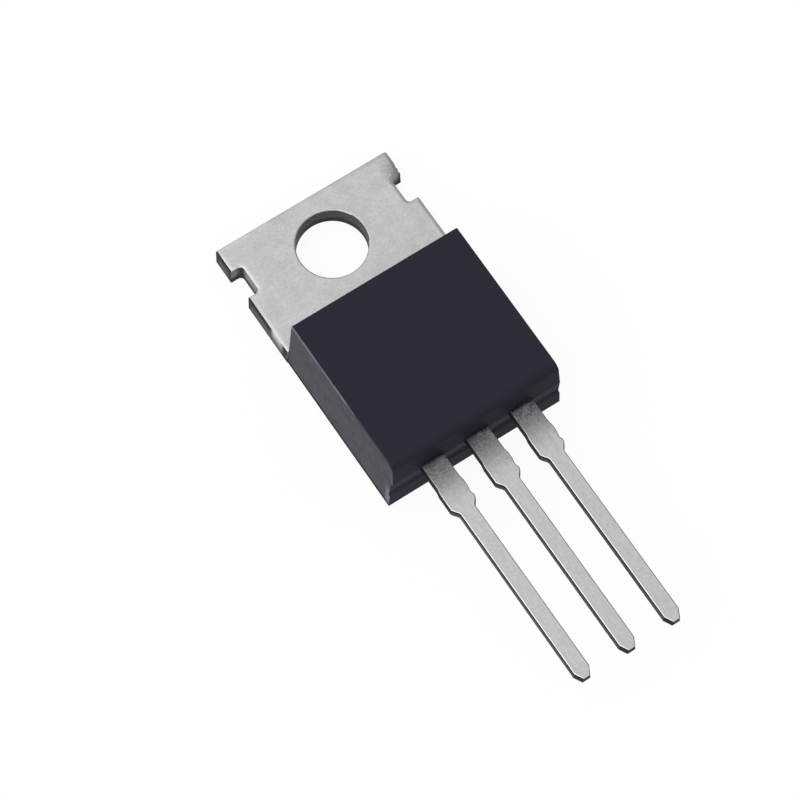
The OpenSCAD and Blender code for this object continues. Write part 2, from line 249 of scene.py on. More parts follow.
class RegulatorFinishes(bpy.types.PropertyGroup):
    """Colours of the finishes"""
    tab_tin: FloatVectorProperty(
        name="Tab tin", description="Matte tin plate on the tab",
        default=linear("c6c6c6"), size=3, min=0, max=1, subtype="COLOR")
    # dark purple-grey for the dented rim, partly rubbed tin and partly painted shade of the dent
    bruise_and_dent_shade: FloatVectorProperty(
        name="Bruise", description="Dark rubbed tin and painted shade where the tab's rim is dented",
        default=linear("8a8791"), size=3, min=0, max=1, subtype="COLOR")
    lead_tin: FloatVectorProperty(
        name="Lead tin", description="Satin tin plate on the leads",
        default=linear("c4c4c4"), size=3, min=0, max=1, subtype="COLOR")
    # dark colour next to the moulding, partly resin stain and partly painted shade and reflection of the body
    bleed_and_shade: FloatVectorProperty(
        name="Resin bleed", description="Stain of resin and painted shade on the leads next to the moulding",
        default=linear("717073"), size=3, min=0, max=1, subtype="COLOR")
    # the tab's rims that lean to +X are painted darker, a painted shade for the dim side that they face
    tab_rim_shade: FloatVectorProperty(
        name="Dull tab rim", description="Tin plate along the tab's right rims, darkened as painted shade",
        default=linear("b4b4b4"), size=3, min=0, max=1, subtype="COLOR")
    # a lead's rims that lean to +X are painted darker as shade, and those that lean to -X lighter as a painted
    # highlight
    lead_rim_shade: FloatVectorProperty(
        name="Dull lead rim", description="Tin plate along a lead's right rim, darkened as painted shade",
        default=linear("606060"), size=3, min=0, max=1, subtype="COLOR")
    lead_rim_highlight: FloatVectorProperty(
        name="Bright lead rim", description="Tin plate along a lead's left rim, lightened as painted highlight",
        default=linear("dedede"), size=3, min=0, max=1, subtype="COLOR")
    side_burnish: FloatVectorProperty(
        name="Side burnish", description="Burnished band of the tab's sheared sides",
        default=linear("4c4b4c"), size=3, min=0, max=1, subtype="COLOR")
    side_tear: FloatVectorProperty(
        name="Side tear", description="Torn rims of the tab's sheared sides",
        default=linear("181717"), size=3, min=0, max=1, subtype="COLOR")
    notch_burnish: FloatVectorProperty(
        name="Notch burnish", description="Burnished band of the punched notches",
        default=linear("858481"), size=3, min=0, max=1, subtype="COLOR")
    notch_tear: FloatVectorProperty(
        name="Notch tear", description="Torn rims of the punched notches",
        default=linear("2e2d2c"), size=3, min=0, max=1, subtype="COLOR")
    hole_burnish: FloatVectorProperty(
        name="Hole burnish", description="Burnished band of the punched hole",
        default=linear("585756"), size=3, min=0, max=1, subtype="COLOR")
    hole_tear: FloatVectorProperty(
        name="Hole tear", description="Torn rims of the punched hole",
        default=linear("242323"), size=3, min=0, max=1, subtype="COLOR")
    lead_burnish: FloatVectorProperty(
        name="Lead burnish", description="Burnished band of the leads' sheared edges",
        default=linear("4a4948"), size=3, min=0, max=1, subtype="COLOR")
    lead_tear: FloatVectorProperty(
        name="Lead tear", description="Torn rims of the leads' sheared edges",
        default=linear("181717"), size=3, min=0, max=1, subtype="COLOR")
    epoxy: FloatVectorProperty(
        name="Epoxy", description="Black moulding compound",
        default=linear("2b2934"), size=3, min=0, max=1, subtype="COLOR")
    # pale colour for the painted highlight on the moulding's edges
    painted_edge_highlight: FloatVectorProperty(
        name="Painted highlight epoxy", description="Moulding compound lightened as painted highlight on its edges",
        default=linear("686671"), size=3, min=0, max=1, subtype="COLOR")
    silicon: FloatVectorProperty(
        name="Silicon", description="Metallised face of the chip",
        default=linear("5a6068"), size=3, min=0, max=1, subtype="COLOR")
    solder: FloatVectorProperty(
        name="Solder", description="Solder under the chip",
        default=linear("8f8f8d"), size=3, min=0, max=1, subtype="COLOR")
    aluminium: FloatVectorProperty(
        name="Aluminium", description="Drawn aluminium of the bonded wires",
        default=linear("d2d3d4"), size=3, min=0, max=1, subtype="COLOR")
    floor: FloatVectorProperty(
        name="Floor", description="Plain white floor",
        default=linear("fdfdfd"), size=3, min=0, max=1, subtype="COLOR")


class RegulatorStage(bpy.types.PropertyGroup):
    """Sizes and light levels of the stage"""
    floor_size: FloatProperty(
        name="Floor size", description="Length of the floor's sides",
        default=2, min=0, unit="LENGTH")
    floor_white: FloatProperty(
        name="Floor white", description="Share of the seen floor that is plain white, with no shadow",
        default=0.92, min=0, max=1)
    softbox_size: FloatProperty(
        name="Softbox size", description="Length of the softbox's sides",
        default=0.5, min=0, unit="LENGTH")
    softbox_distance: FloatProperty(
        name="Softbox distance", description="From the regulator to the softbox",
        default=0.5, min=0, unit="LENGTH")
    softbox_level: FloatProperty(
        name="Softbox level", description="Brightness of the softbox, where 1 is white",
        default=1.28, min=0)
    room_level: FloatProperty(
        name="Room level", description="Brightness round the softbox, where 1 is white",
        default=0.96, min=0)
    horizon_level: FloatProperty(
        name="Horizon level", description="Brightness away from the softbox, where 1 is white",
        default=0.34, min=0)


# Modelling

CORNER_STEPS = 6
ROLL_STEPS = 4
HOLE_STEPS = 96
CURVE_WIDTH = 0.2 * MM
SHARP_ANGLE = radians(40)
# A wall's normal is nearer to level than this
WALL_SLOPE = 0.5
# On the tab's left that holds for the outer part of its rim too, which tears with the wall
LEFT_RIM_SLOPE = 0.93
# A rolled rim leans to its side further than this
RIM_SLOPE = 0.1
# The moulding's sides lean out further than the first, and its rounded edges than the second
SIDE_SLOPE = 0.99
EDGE_SLOPE = 0.1
# How far the faces of an outer wall's roll-over reach in
EDGE_DEPTH = 0.1 * MM
# From the right notch to the middle of the dent beside it
DENT_REACH = 0.2 * MM
# From the moulding to the middle of the smear of plate on the tab's left side
SMEAR_REACH = 0.9 * MM
# From the moulding to the middle of the black run that follows the smear
RUN_REACH = 0.3 * MM
LEAD_FINISHES = ("Satin tin plate", "Bright lead rim", "Dull lead rim", "Sheared lead edge", "Torn lead edge")
# How far the dent beside the right notch is pressed down in each of its spots
DENT_DEPTHS = (0.05 * MM, 0.09 * MM, 0.03 * MM, 0.07 * MM, 0.02 * MM)


def add_outline(bm, corners, place):
    """Adds a flat face. A corner is its two coordinates and how far its rounding reaches along the
    edges, and place turns the two coordinates into a point."""
    verts = [bm.verts.new(place(a, b)) for a, b, _ in corners]
    bm.faces.new(verts)
    for reach in sorted({corner[2] for corner in corners} - {0}):
        rounded = [vert for vert, corner in zip(verts, corners) if corner[2] == reach]
        bmesh.ops.bevel(bm, geom=rounded, offset=reach, offset_type="OFFSET", segments=CORNER_STEPS,
                        profile=0.5, affect="VERTICES", material=-1)


def punch_holes(bm, holes, z):
    """Puts round holes, each x, y and diameter, into the one face at height z."""
    rims = list(bm.edges)
    bmesh.ops.delete(bm, geom=list(bm.faces), context="FACES_ONLY")
    for x, y, diameter in holes:
        ring = bmesh.ops.create_circle(bm, segments=HOLE_STEPS, radius=diameter / 2,
                                       matrix=Matrix.Translation((x, y, z)))
        rims += {edge for vert in ring["verts"] for edge in vert.link_edges}
    bmesh.ops.triangle_fill(bm, edges=rims, use_beauty=True, normal=(0, 0, 1))


def thicken(bm, vector):
    """Extrudes all faces along a vector to a closed solid with its faces outward."""
    grown = bmesh.ops.extrude_face_region(bm, geom=list(bm.faces))["geom"]
    bmesh.ops.translate(bm, verts=[g for g in grown if isinstance(g, bmesh.types.BMVert)], vec=vector)
    bmesh.ops.recalc_face_normals(bm, faces=list(bm.faces))
    bmesh.ops.dissolve_limit(bm, angle_limit=radians(0.1), verts=list(bm.verts), edges=list(bm.edges))


def add_plate(bm, corners, top, thickness, holes=()):
    """Stamps a plate with its front at height top."""
    add_outline(bm, corners, lambda x, y: (x, y, top))
    if holes:
        punch_holes(bm, holes, top)
    thicken(bm, (0, 0, -thickness))


def rim_edges(bm, z, wanted):
    """Edges at height z between a flat face and a wall, whose middle is wanted."""
    rims = []
    for edge in bm.edges:
        level = all(abs(vert.co.z - z) < NEAR for vert in edge.verts)
        flat = [abs(face.normal.z) > 0.9 for face in edge.link_faces]
        if level and sum(flat) == 1 and wanted((edge.verts[0].co + edge.verts[1].co) / 2):
            rims.append(edge)
    return rims


def round_edges(bm, edges, radius, steps=ROLL_STEPS):
    """Rounds edges to about the given radius and returns the points of the rounding."""
    return bmesh.ops.bevel(bm, geom=edges, offset=radius, offset_type="OFFSET", segments=steps,
                           profile=0.5, affect="EDGES", material=-1, clamp_overlap=True)["verts"]


def roll_over(bm, rims, top, width, depth):
    """Rounds rims at height top, and then flattens the round to the roll-over's depth."""
    rounded = round_edges(bm, rims, width, ROLL_STEPS + 2)
    bmesh.ops.scale(bm, verts=rounded, vec=(1, 1, depth / width), space=Matrix.Translation((0, 0, -top)))


def lean_out(bm, z, middle_x, start, burr):
    """Moves the points at height z that lie further than start from x = middle_x out by the burr."""
    for vert in bm.verts:
        if abs(vert.co.z - z) < NEAR and abs(vert.co.x - middle_x) > start:
            vert.co.x += copysign(burr, vert.co.x - middle_x)


def extrude_face(bm, face, vector):
    """Pulls a face along a vector, with walls behind it, and returns it."""
    grown = bmesh.ops.extrude_discrete_faces(bm, faces=[face])["faces"]
    bmesh.ops.translate(bm, verts=list(grown[0].verts), vec=vector)
    return grown[0]


def spin_face(bm, face, centre, turn):
    """Swings a face about an axis along X, with walls behind it, and returns it."""
    swung = bmesh.ops.spin(bm, geom=[face, *face.edges, *face.verts], cent=centre, axis=(1, 0, 0),
                           angle=turn, steps=CORNER_STEPS, use_duplicate=False)
    return next(g for g in swung["geom_last"] if isinstance(g, bmesh.types.BMFace))


def shade(bm):
    """Flat faces are shaded flat, and the narrow faces along a curve smoothly."""
    for face in bm.faces:
        longest = max(edge.calc_length() for edge in face.edges)
        face.smooth = face.calc_area() / longest < CURVE_WIDTH
    for edge in bm.edges:
        edge.smooth = edge.is_manifold and edge.calc_face_angle() < SHARP_ANGLE


def add_piece(bm, name):
    """Makes an object of a bmesh."""
    mesh = bpy.data.meshes.new(name)
    bm.to_mesh(mesh)
    bm.free()
    piece = bpy.data.objects.new(name, mesh)
    bpy.context.scene.collection.objects.link(piece)
    return piece


def node_copy(name):
    """A merged copy of a frame node's mesh as an object."""
    bm = bmesh.new()
    bm.from_mesh(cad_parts[name].data)
    bmesh.ops.remove_doubles(bm, verts=list(bm.verts), dist=NEAR / 10)
    return add_piece(bm, name + "_copy")


def combine(piece, others, operation):
    """Joins the other objects to a piece, or cuts them out of it."""
    for other in others:
        change = piece.modifiers.new(operation.title(), "BOOLEAN")
        change.operation = operation
        change.solver = "EXACT"
        change.object = other
    changed = piece.evaluated_get(bpy.context.evaluated_depsgraph_get())
    mesh = bpy.data.meshes.new_from_object(changed)
    piece.modifiers.clear()
    piece.data = mesh
    if not mesh.polygons:
        raise RuntimeError(piece.name + " came out empty")


def remove(pieces):
    """Deletes helper objects."""
    for piece in pieces:
        bpy.data.objects.remove(piece, do_unlink=True)


def remove_sheets(bm):
    """Removes the flat sheets that a cut leaves between two hollows that touch. A sheet's outer
    edges have a third face, so once it is one face, all its edges do."""
    touching = {face for edge in bm.edges if len(edge.link_faces) > 2 for face in edge.link_faces}
    near = [edge for edge in bm.edges if touching.intersection(edge.link_faces)]
    bmesh.ops.dissolve_limit(bm, angle_limit=radians(0.1), verts=[], edges=near)
    sheets = [face for face in bm.faces if all(len(edge.link_faces) > 2 for edge in face.edges)]
    bmesh.ops.delete(bm, geom=sheets, context="FACES_ONLY")


def dress(piece, finishes, choose):
    """Tidies a piece's mesh, shades it and gives each face the finish that choose names."""
    bm = bmesh.new()
    bm.from_mesh(piece.data)
    bmesh.ops.remove_doubles(bm, verts=list(bm.verts), dist=NEAR)
    bmesh.ops.dissolve_degenerate(bm, edges=list(bm.edges), dist=NEAR / 10)
    remove_sheets(bm)
    names = list(finishes)
    for face in bm.faces:
        face.material_index = names.index(choose(face))
    shade(bm)
    # clearing the slots would reset the faces' finishes, so it comes first
    piece.data.materials.clear()
    for name in names:
        piece.data.materials.append(finishes[name])
    bm.to_mesh(piece.data)
    bm.free()


def lead_edge(leads, start_y, with_nub):
    """Corners of a lead's right-hand edge on x = 0, from start_y to the tip. The stub of the tie
    bar ends flush at the shoulder, or dips before a nub that the shears left there."""
    half_root = leads.root_width / 2
    half_lead = leads.width / 2
    reach = leads.shoulder_radius * tan(leads.shoulder_slope / 2)
    shoulder_y = body_low.y - leads.root_length - reach
    neck_y = shoulder_y - (half_root - half_lead) / tan(leads.shoulder_slope)
    stub_low = body_low.y - leads.root_length
    stub_high = stub_low + leads.stub_length
    out = half_root + leads.stub_out
    nub_high = stub_low + leads.nub_length
    dip = [(out, stub_high - 2 * leads.stub_ramp, 0), (half_root - leads.stub_out / 4, nub_high + leads.stub_ramp / 2, 0),
           (out, nub_high, 0)]
    tip_y = spreader_low.y
    return [(half_root, start_y, 0), (half_root, stub_high, 0), (out, stub_high - leads.stub_ramp, 0),
            *(dip if with_nub else []), (out, stub_low, 0),
            (half_root, shoulder_y, reach), (half_lead, neck_y, reach),
            (half_lead, tip_y + leads.tip_bevel, 0), (leads.tip_flat / 2, tip_y, 0)]


def mirrored(corners):
    """Corners mirrored in x = 0, in the opposite order."""
    return [(-a, b, reach) for a, b, reach in reversed(corners)]


def shear_lead(bm, leads, middle_x, start_y):
    """Leans a lead's edges out to its back and rolls its front rims over from start_y to the tip."""
    lean_out(bm, lead_low.z, middle_x, 0, leads.burr)
    rims = rim_edges(bm, lead_high.z, lambda middle: middle.y < start_y - NEAR)
    roll_over(bm, rims, lead_high.z, leads.roll_width, leads.roll_depth)


# Finishes

def add_node(tree, kind, inputs=None, **settings):
    """Adds a node with its settings, and with values or other nodes' outputs for its inputs."""
    node = tree.nodes.new(kind)
    for name, value in settings.items():
        setattr(node, name, value)
    for key, value in (inputs or {}).items():
        if isinstance(value, bpy.types.NodeSocket):
            tree.links.new(value, node.inputs[key])
        else:
            node.inputs[key].default_value = value
    return node


def new_finish(name):
    """An empty node material and its object coordinates."""
    material = bpy.data.materials.new(name)
    material.use_nodes = True
    material.node_tree.nodes.clear()
    place = add_node(material.node_tree, "ShaderNodeTexCoord").outputs["Object"]
    return material, material.node_tree, place


def shaded(colour, factor):
    """A colour made lighter or darker, with its alpha."""
    return (*[min(share * factor, 1) for share in colour], 1)


def matte_tin(name, colour, bruise_and_dent_shade, dent):
    """Matte tin plate on stamped copper: an even pale grey with a fine grain and faint clouds, and a dark, slightly
    purple patch where the rim is dented, partly rubbed tin and partly painted shade of the dent."""
    material, tree, place = new_finish(name)
    grain = add_node(tree, "ShaderNodeTexNoise",
                     {"Vector": place, "Scale": 1 / (0.14 * MM), "Detail": 2, "Roughness": 0.6})
    clouds = add_node(tree, "ShaderNodeTexNoise",
                      {"Vector": place, "Scale": 1 / (0.8 * MM), "Detail": 3, "Roughness": 0.6})
    speckled = add_node(tree, "ShaderNodeMix",
                        {"Factor": grain.outputs["Fac"], "A": shaded(colour, 0.8), "B": shaded(colour, 1.2)},
                        data_type="RGBA")
    tone = add_node(tree, "ShaderNodeMapRange",
                    {"Value": clouds.outputs["Fac"], "From Min": 0.3, "From Max": 0.7, "To Min": 0.91, "To Max": 1.08})
    clouded = add_node(tree, "ShaderNodeVectorMath",
                       {0: speckled.outputs["Result"], "Scale": tone.outputs["Result"]}, operation="SCALE")
    from_dent = add_node(tree, "ShaderNodeVectorMath", {0: place, 1: dent}, operation="DISTANCE")
    ragged = add_node(tree, "ShaderNodeMath",
                      {0: grain.outputs["Fac"], 1: 0.8 * MM, 2: from_dent.outputs["Value"]},
                      operation="MULTIPLY_ADD")
    # the patch round the dent is partly painted shade
    sound = add_node(tree, "ShaderNodeMapRange",
                     {"Value": ragged.outputs["Value"], "From Min": 0.35 * MM, "From Max": 1.4 * MM})
    bruised_and_shaded = add_node(tree, "ShaderNodeMix",
                       {"Factor": sound.outputs["Result"], "A": shaded(bruise_and_dent_shade, 1), "B": clouded.outputs["Vector"]},
                       data_type="RGBA")
    gloss = add_node(tree, "ShaderNodeMapRange",
                     {"Value": clouds.outputs["Fac"], "From Min": 0.3, "From Max": 0.7, "To Min": 0.46, "To Max": 0.54})
    bump = add_node(tree, "ShaderNodeBump",
                    {"Height": grain.outputs["Fac"], "Strength": 0.35, "Distance": 0.006 * MM})
    shader = add_node(tree, "ShaderNodeBsdfPrincipled",
                      {"Base Color": bruised_and_shaded.outputs["Result"], "Metallic": 1.0,
                       "Roughness": gloss.outputs["Result"], "Normal": bump.outputs["Normal"]})
    add_node(tree, "ShaderNodeOutputMaterial", {"Surface": shader.outputs["BSDF"]})
    return material


def satin_tin(name, colour, bleed_and_shade, epoxy):
    """Satin tin plate on the leads: faint marks along the strip, a dark blotchy band next to the moulding that fades
    out before the shoulder, partly a stain of resin that bled out and partly painted shade and reflection of the dark
    body, and a ragged film of resin flash at the moulding."""
    material, tree, place = new_finish(name)
    along = add_node(tree, "ShaderNodeMapping", {"Vector": place, "Scale": (1, 0.12, 1)})
    marks = add_node(tree, "ShaderNodeTexNoise",
                     {"Vector": along.outputs["Vector"], "Scale": 1 / (0.09 * MM), "Detail": 3, "Roughness": 0.6})
    grain = add_node(tree, "ShaderNodeTexNoise",
                     {"Vector": place, "Scale": 1 / (0.16 * MM), "Detail": 2, "Roughness": 0.6})
    both = add_node(tree, "ShaderNodeMath",
                    {0: marks.outputs["Fac"], 1: grain.outputs["Fac"]}, operation="MULTIPLY")
    level = add_node(tree, "ShaderNodeMapRange",
                     {"Value": both.outputs["Value"], "From Min": 0.1, "From Max": 0.45})
    tinted = add_node(tree, "ShaderNodeMix",
                      {"Factor": level.outputs["Result"], "A": shaded(colour, 0.88), "B": shaded(colour, 1.1)},
                      data_type="RGBA")
    blotches = add_node(tree, "ShaderNodeTexNoise",
                        {"Vector": place, "Scale": 1 / (0.35 * MM), "Detail": 4, "Roughness": 0.7})
    specks = add_node(tree, "ShaderNodeTexNoise",
                      {"Vector": place, "Scale": 1 / (0.1 * MM), "Detail": 2, "Roughness": 0.6})
    ahead = add_node(tree, "ShaderNodeSeparateXYZ", {"Vector": place}).outputs["Y"]
    wander = add_node(tree, "ShaderNodeMapRange",
                      {"Value": blotches.outputs["Fac"], "To Min": -0.7 * MM, "To Max": 0.7 * MM})
    edge = add_node(tree, "ShaderNodeMath", {0: ahead, 1: wander.outputs["Result"]}, operation="ADD")
    # the dark band is partly resin stain and partly painted shade from the moulding
    clear_of_stain_and_shade = add_node(tree, "ShaderNodeMapRange",
                     {"Value": edge.outputs["Value"], "From Min": body_low.y - 0.4 * MM,
                      "From Max": body_low.y - 2.8 * MM}, interpolation_type="SMOOTHSTEP")
    mottle = add_node(tree, "ShaderNodeMath",
                      {0: blotches.outputs["Fac"], 1: specks.outputs["Fac"]}, operation="ADD")
    amount = add_node(tree, "ShaderNodeMapRange", {"Value": mottle.outputs["Value"], "From Min": 0.8, "From Max": 1.2})
    resin = add_node(tree, "ShaderNodeMix",
                     {"Factor": amount.outputs["Result"], "A": shaded(bleed_and_shade, 0.55), "B": shaded(bleed_and_shade, 1.5)},
                     data_type="RGBA")
    stained_and_shaded = add_node(tree, "ShaderNodeMix",
                       {"Factor": clear_of_stain_and_shade.outputs["Result"], "A": resin.outputs["Result"],
                        "B": tinted.outputs["Result"]}, data_type="RGBA")
    film = add_node(tree, "ShaderNodeMath",
                    {0: specks.outputs["Fac"], 1: 0.6 * MM, 2: ahead}, operation="MULTIPLY_ADD")
    flash = add_node(tree, "ShaderNodeMapRange",
                     {"Value": film.outputs["Value"], "From Min": body_low.y + 0.18 * MM,
                      "From Max": body_low.y + 0.26 * MM})
    covered = add_node(tree, "ShaderNodeMix",
                       {"Factor": flash.outputs["Result"], "A": stained_and_shaded.outputs["Result"],
                        "B": shaded(epoxy, 1.2)}, data_type="RGBA")
    bump = add_node(tree, "ShaderNodeBump",
                    {"Height": both.outputs["Value"], "Strength": 0.3, "Distance": 0.006 * MM})
    shader = add_node(tree, "ShaderNodeBsdfPrincipled",
                      {"Base Color": covered.outputs["Result"], "Metallic": 1.0, "Roughness": 0.42,
                       "Normal": bump.outputs["Normal"]})
    add_node(tree, "ShaderNodeOutputMaterial", {"Surface": shader.outputs["BSDF"]})
    return material


def sheared_edge(name, low, high, dark_band, burnished, torn, corners=(), smear=None, plate=None):
    """Sheared edge of a plated stamping, so rough that it scatters light as a matte surface does. A burnished band and
    a near-black band, which is whole at the first share of the height in dark_band and gone at the second, are broken
    up by fine marks in the direction of the punch and by longer runs. The near-black band is torn metal, and where it
    lies at the top of a wall it is also painted shade under the roll-over; the bottom of the wall is darkened too,
    partly burr and partly painted shade along the bottom edge. Torn metal takes over near the corners, which are points
    in plan, and near the smear the punch has dragged pale plate down over the wall."""
    material, tree, place = new_finish(name)
    across = add_node(tree, "ShaderNodeMapping", {"Vector": place, "Scale": (1, 1, 0.15)})
    marks = add_node(tree, "ShaderNodeTexNoise",
                     {"Vector": across.outputs["Vector"], "Scale": 1 / (0.08 * MM), "Detail": 3, "Roughness": 0.6})
    runs = add_node(tree, "ShaderNodeTexNoise",
                    {"Vector": place, "Scale": 1 / (0.45 * MM), "Detail": 3, "Roughness": 0.65})
    plan = add_node(tree, "ShaderNodeVectorMath", {0: place, 1: (1, 1, 0)}, operation="MULTIPLY")
    nearest = FAR
    for corner in corners:
        gap = add_node(tree, "ShaderNodeVectorMath", {0: plan.outputs["Vector"], 1: corner}, operation="DISTANCE")
        closer = add_node(tree, "ShaderNodeMath", {0: gap.outputs["Value"], 1: nearest}, operation="MINIMUM")
        nearest = closer.outputs["Value"]
    sound = add_node(tree, "ShaderNodeMapRange", {"Value": nearest, "From Min": 0.05 * MM, "From Max": 0.35 * MM})
    height = add_node(tree, "ShaderNodeSeparateXYZ", {"Vector": place}).outputs["Z"]
    # near-black band of torn metal; at the top of a wall it is also painted shade under the roll-over
    past_tear_and_shade = add_node(tree, "ShaderNodeMapRange",
                         {"Value": height, "From Min": low + dark_band[0] * (high - low),
                          "From Max": low + dark_band[1] * (high - low)})
    # darker towards the bottom of the wall, partly burr and partly painted shade
    above_burr_and_shade = add_node(tree, "ShaderNodeMapRange",
                          {"Value": height, "From Min": low, "From Max": low + 0.15 * (high - low), "To Min": 0.4})
    band = add_node(tree, "ShaderNodeMath",
                    {0: past_tear_and_shade.outputs["Result"], 1: above_burr_and_shade.outputs["Result"]}, operation="MULTIPLY")
    whole = add_node(tree, "ShaderNodeMath",
                     {0: band.outputs["Value"], 1: sound.outputs["Result"]}, operation="MULTIPLY")
    broken = add_node(tree, "ShaderNodeMath",
                      {0: runs.outputs["Fac"], 1: 1.2, 2: whole.outputs["Value"]}, operation="MULTIPLY_ADD")
    marked = add_node(tree, "ShaderNodeMath",
                      {0: marks.outputs["Fac"], 1: 0.5, 2: broken.outputs["Value"]}, operation="MULTIPLY_ADD")
    level = add_node(tree, "ShaderNodeMapRange", {"Value": marked.outputs["Value"], "From Min": 1.1, "From Max": 1.85})
    tinted = add_node(tree, "ShaderNodeMix",
                      {"Factor": level.outputs["Result"], "A": shaded(torn, 1), "B": shaded(burnished, 1)},
                      data_type="RGBA")
    colour = tinted.outputs["Result"]
    if smear:
        gap = add_node(tree, "ShaderNodeVectorMath", {0: plan.outputs["Vector"], 1: smear}, operation="DISTANCE")
        near = add_node(tree, "ShaderNodeMapRange",
                        {"Value": gap.outputs["Value"], "From Min": 0.6 * MM, "From Max": 0.3 * MM})
        drag = add_node(tree, "ShaderNodeMapRange",
                        {"Value": height, "From Min": low + 0.3 * (high - low), "From Max": high, "To Min": 0.08})
        share = add_node(tree, "ShaderNodeMath",
                         {0: near.outputs["Result"], 1: drag.outputs["Result"]}, operation="MULTIPLY")
        smeared = add_node(tree, "ShaderNodeMix",
                           {"Factor": share.outputs["Value"], "A": colour, "B": shaded(plate, 1)}, data_type="RGBA")
        colour = smeared.outputs["Result"]
    bump = add_node(tree, "ShaderNodeBump",
                    {"Height": marks.outputs["Fac"], "Strength": 0.5, "Distance": 0.01 * MM})
    shader = add_node(tree, "ShaderNodeBsdfPrincipled",
                      {"Base Color": colour, "Roughness": 0.6, "Specular IOR Level": 0.1,
                       "Normal": bump.outputs["Normal"]})
    add_node(tree, "ShaderNodeOutputMaterial", {"Surface": shader.outputs["BSDF"]})
    return material


def moulded_epoxy(name, colour):
    """Moulded epoxy compound from an eroded mould: a flat dull black with a very fine grain."""
    material, tree, place = new_finish(name)
    grain = add_node(tree, "ShaderNodeTexNoise",
                     {"Vector": place, "Scale": 1 / (0.1 * MM), "Detail": 3, "Roughness": 0.6})
    tinted = add_node(tree, "ShaderNodeMix",
                      {"Factor": grain.outputs["Fac"], "A": shaded(colour, 0.85), "B": shaded(colour, 1.15)},
                      data_type="RGBA")
    bump = add_node(tree, "ShaderNodeBump",
                    {"Height": grain.outputs["Fac"], "Strength": 0.4, "Distance": 0.01 * MM})
    shader = add_node(tree, "ShaderNodeBsdfPrincipled",
                      {"Base Color": tinted.outputs["Result"], "Roughness": 0.6, "IOR": 1.5,
                       "Specular IOR Level": 0.03, "Normal": bump.outputs["Normal"]})
    add_node(tree, "ShaderNodeOutputMaterial", {"Surface": shader.outputs["BSDF"]})
    return material


def rubbed_epoxy(colour, edge_highlight):
    """Moulded epoxy that was rubbed along the mould's walls as it left them: a greyer sheen with faint clouds and marks
    across the body's height. Low on the sides by the lead end, a painted highlight stands in for light on the rounded
    end edge, and along the foot a painted shade darkens the colour and the sheen fades out."""
    material, tree, place = new_finish("Rubbed epoxy")
    clouds = add_node(tree, "ShaderNodeTexNoise",
                      {"Vector": place, "Scale": 1 / (0.9 * MM), "Detail": 3, "Roughness": 0.6})
    across = add_node(tree, "ShaderNodeMapping", {"Vector": place, "Scale": (1, 1, 0.15)})
    rub = add_node(tree, "ShaderNodeTexNoise",
                   {"Vector": across.outputs["Vector"], "Scale": 1 / (0.12 * MM), "Detail": 3, "Roughness": 0.6})
    both = add_node(tree, "ShaderNodeMath",
                    {0: clouds.outputs["Fac"], 1: rub.outputs["Fac"]}, operation="ADD")
    tone = add_node(tree, "ShaderNodeMapRange", {"Value": both.outputs["Value"], "From Min": 0.7, "From Max": 1.3})
    axes = add_node(tree, "ShaderNodeSeparateXYZ", {"Vector": place}).outputs
    # painted shade along the foot: the colour darkens and the sheen fades at the bottom of the sides
    clear_of_foot_shade = add_node(tree, "ShaderNodeMapRange",
                      {"Value": axes["Z"], "From Min": 0.18 * MM, "From Max": 0.42 * MM, "To Min": 0.1})
    # painted highlight low on the sides near the lead end, where the rounded end edge would catch light
    end_strip = add_node(tree, "ShaderNodeMapRange",
                         {"Value": axes["Y"], "From Min": body_low.y + 0.5 * MM, "From Max": body_low.y + 0.3 * MM})
    end_highlight = add_node(tree, "ShaderNodeMapRange",
                     {"Value": axes["Z"], "From Min": 2.2 * MM, "From Max": 1.4 * MM,
                      "To Max": end_strip.outputs["Result"]})
    brushed = add_node(tree, "ShaderNodeMix",
                       {"Factor": tone.outputs["Result"], "A": shaded(colour, 0.8), "B": shaded(colour, 1.5)},
                       data_type="RGBA")
    tinted = add_node(tree, "ShaderNodeMix",
                      {"Factor": end_highlight.outputs["Result"], "A": brushed.outputs["Result"], "B": shaded(edge_highlight, 1)},
                      data_type="RGBA")
    foot_shaded = add_node(tree, "ShaderNodeMix",
                      {"Factor": clear_of_foot_shade.outputs["Result"], "A": shaded(colour, 0.3), "B": tinted.outputs["Result"]},
                      data_type="RGBA")
    sheen = add_node(tree, "ShaderNodeMapRange",
                     {"Value": both.outputs["Value"], "From Min": 0.7, "From Max": 1.3, "To Min": 0.1, "To Max": 0.18})
    gloss = add_node(tree, "ShaderNodeMath",
                     {0: clear_of_foot_shade.outputs["Result"], 1: sheen.outputs["Result"]}, operation="MULTIPLY")
    bump = add_node(tree, "ShaderNodeBump",
                    {"Height": rub.outputs["Fac"], "Strength": 0.3, "Distance": 0.008 * MM})
    shader = add_node(tree, "ShaderNodeBsdfPrincipled",
                      {"Base Color": foot_shaded.outputs["Result"], "Roughness": 0.52, "IOR": 1.5,
                       "Specular IOR Level": gloss.outputs["Value"], "Normal": bump.outputs["Normal"]})
    add_node(tree, "ShaderNodeOutputMaterial", {"Surface": shader.outputs["BSDF"]})
    return material


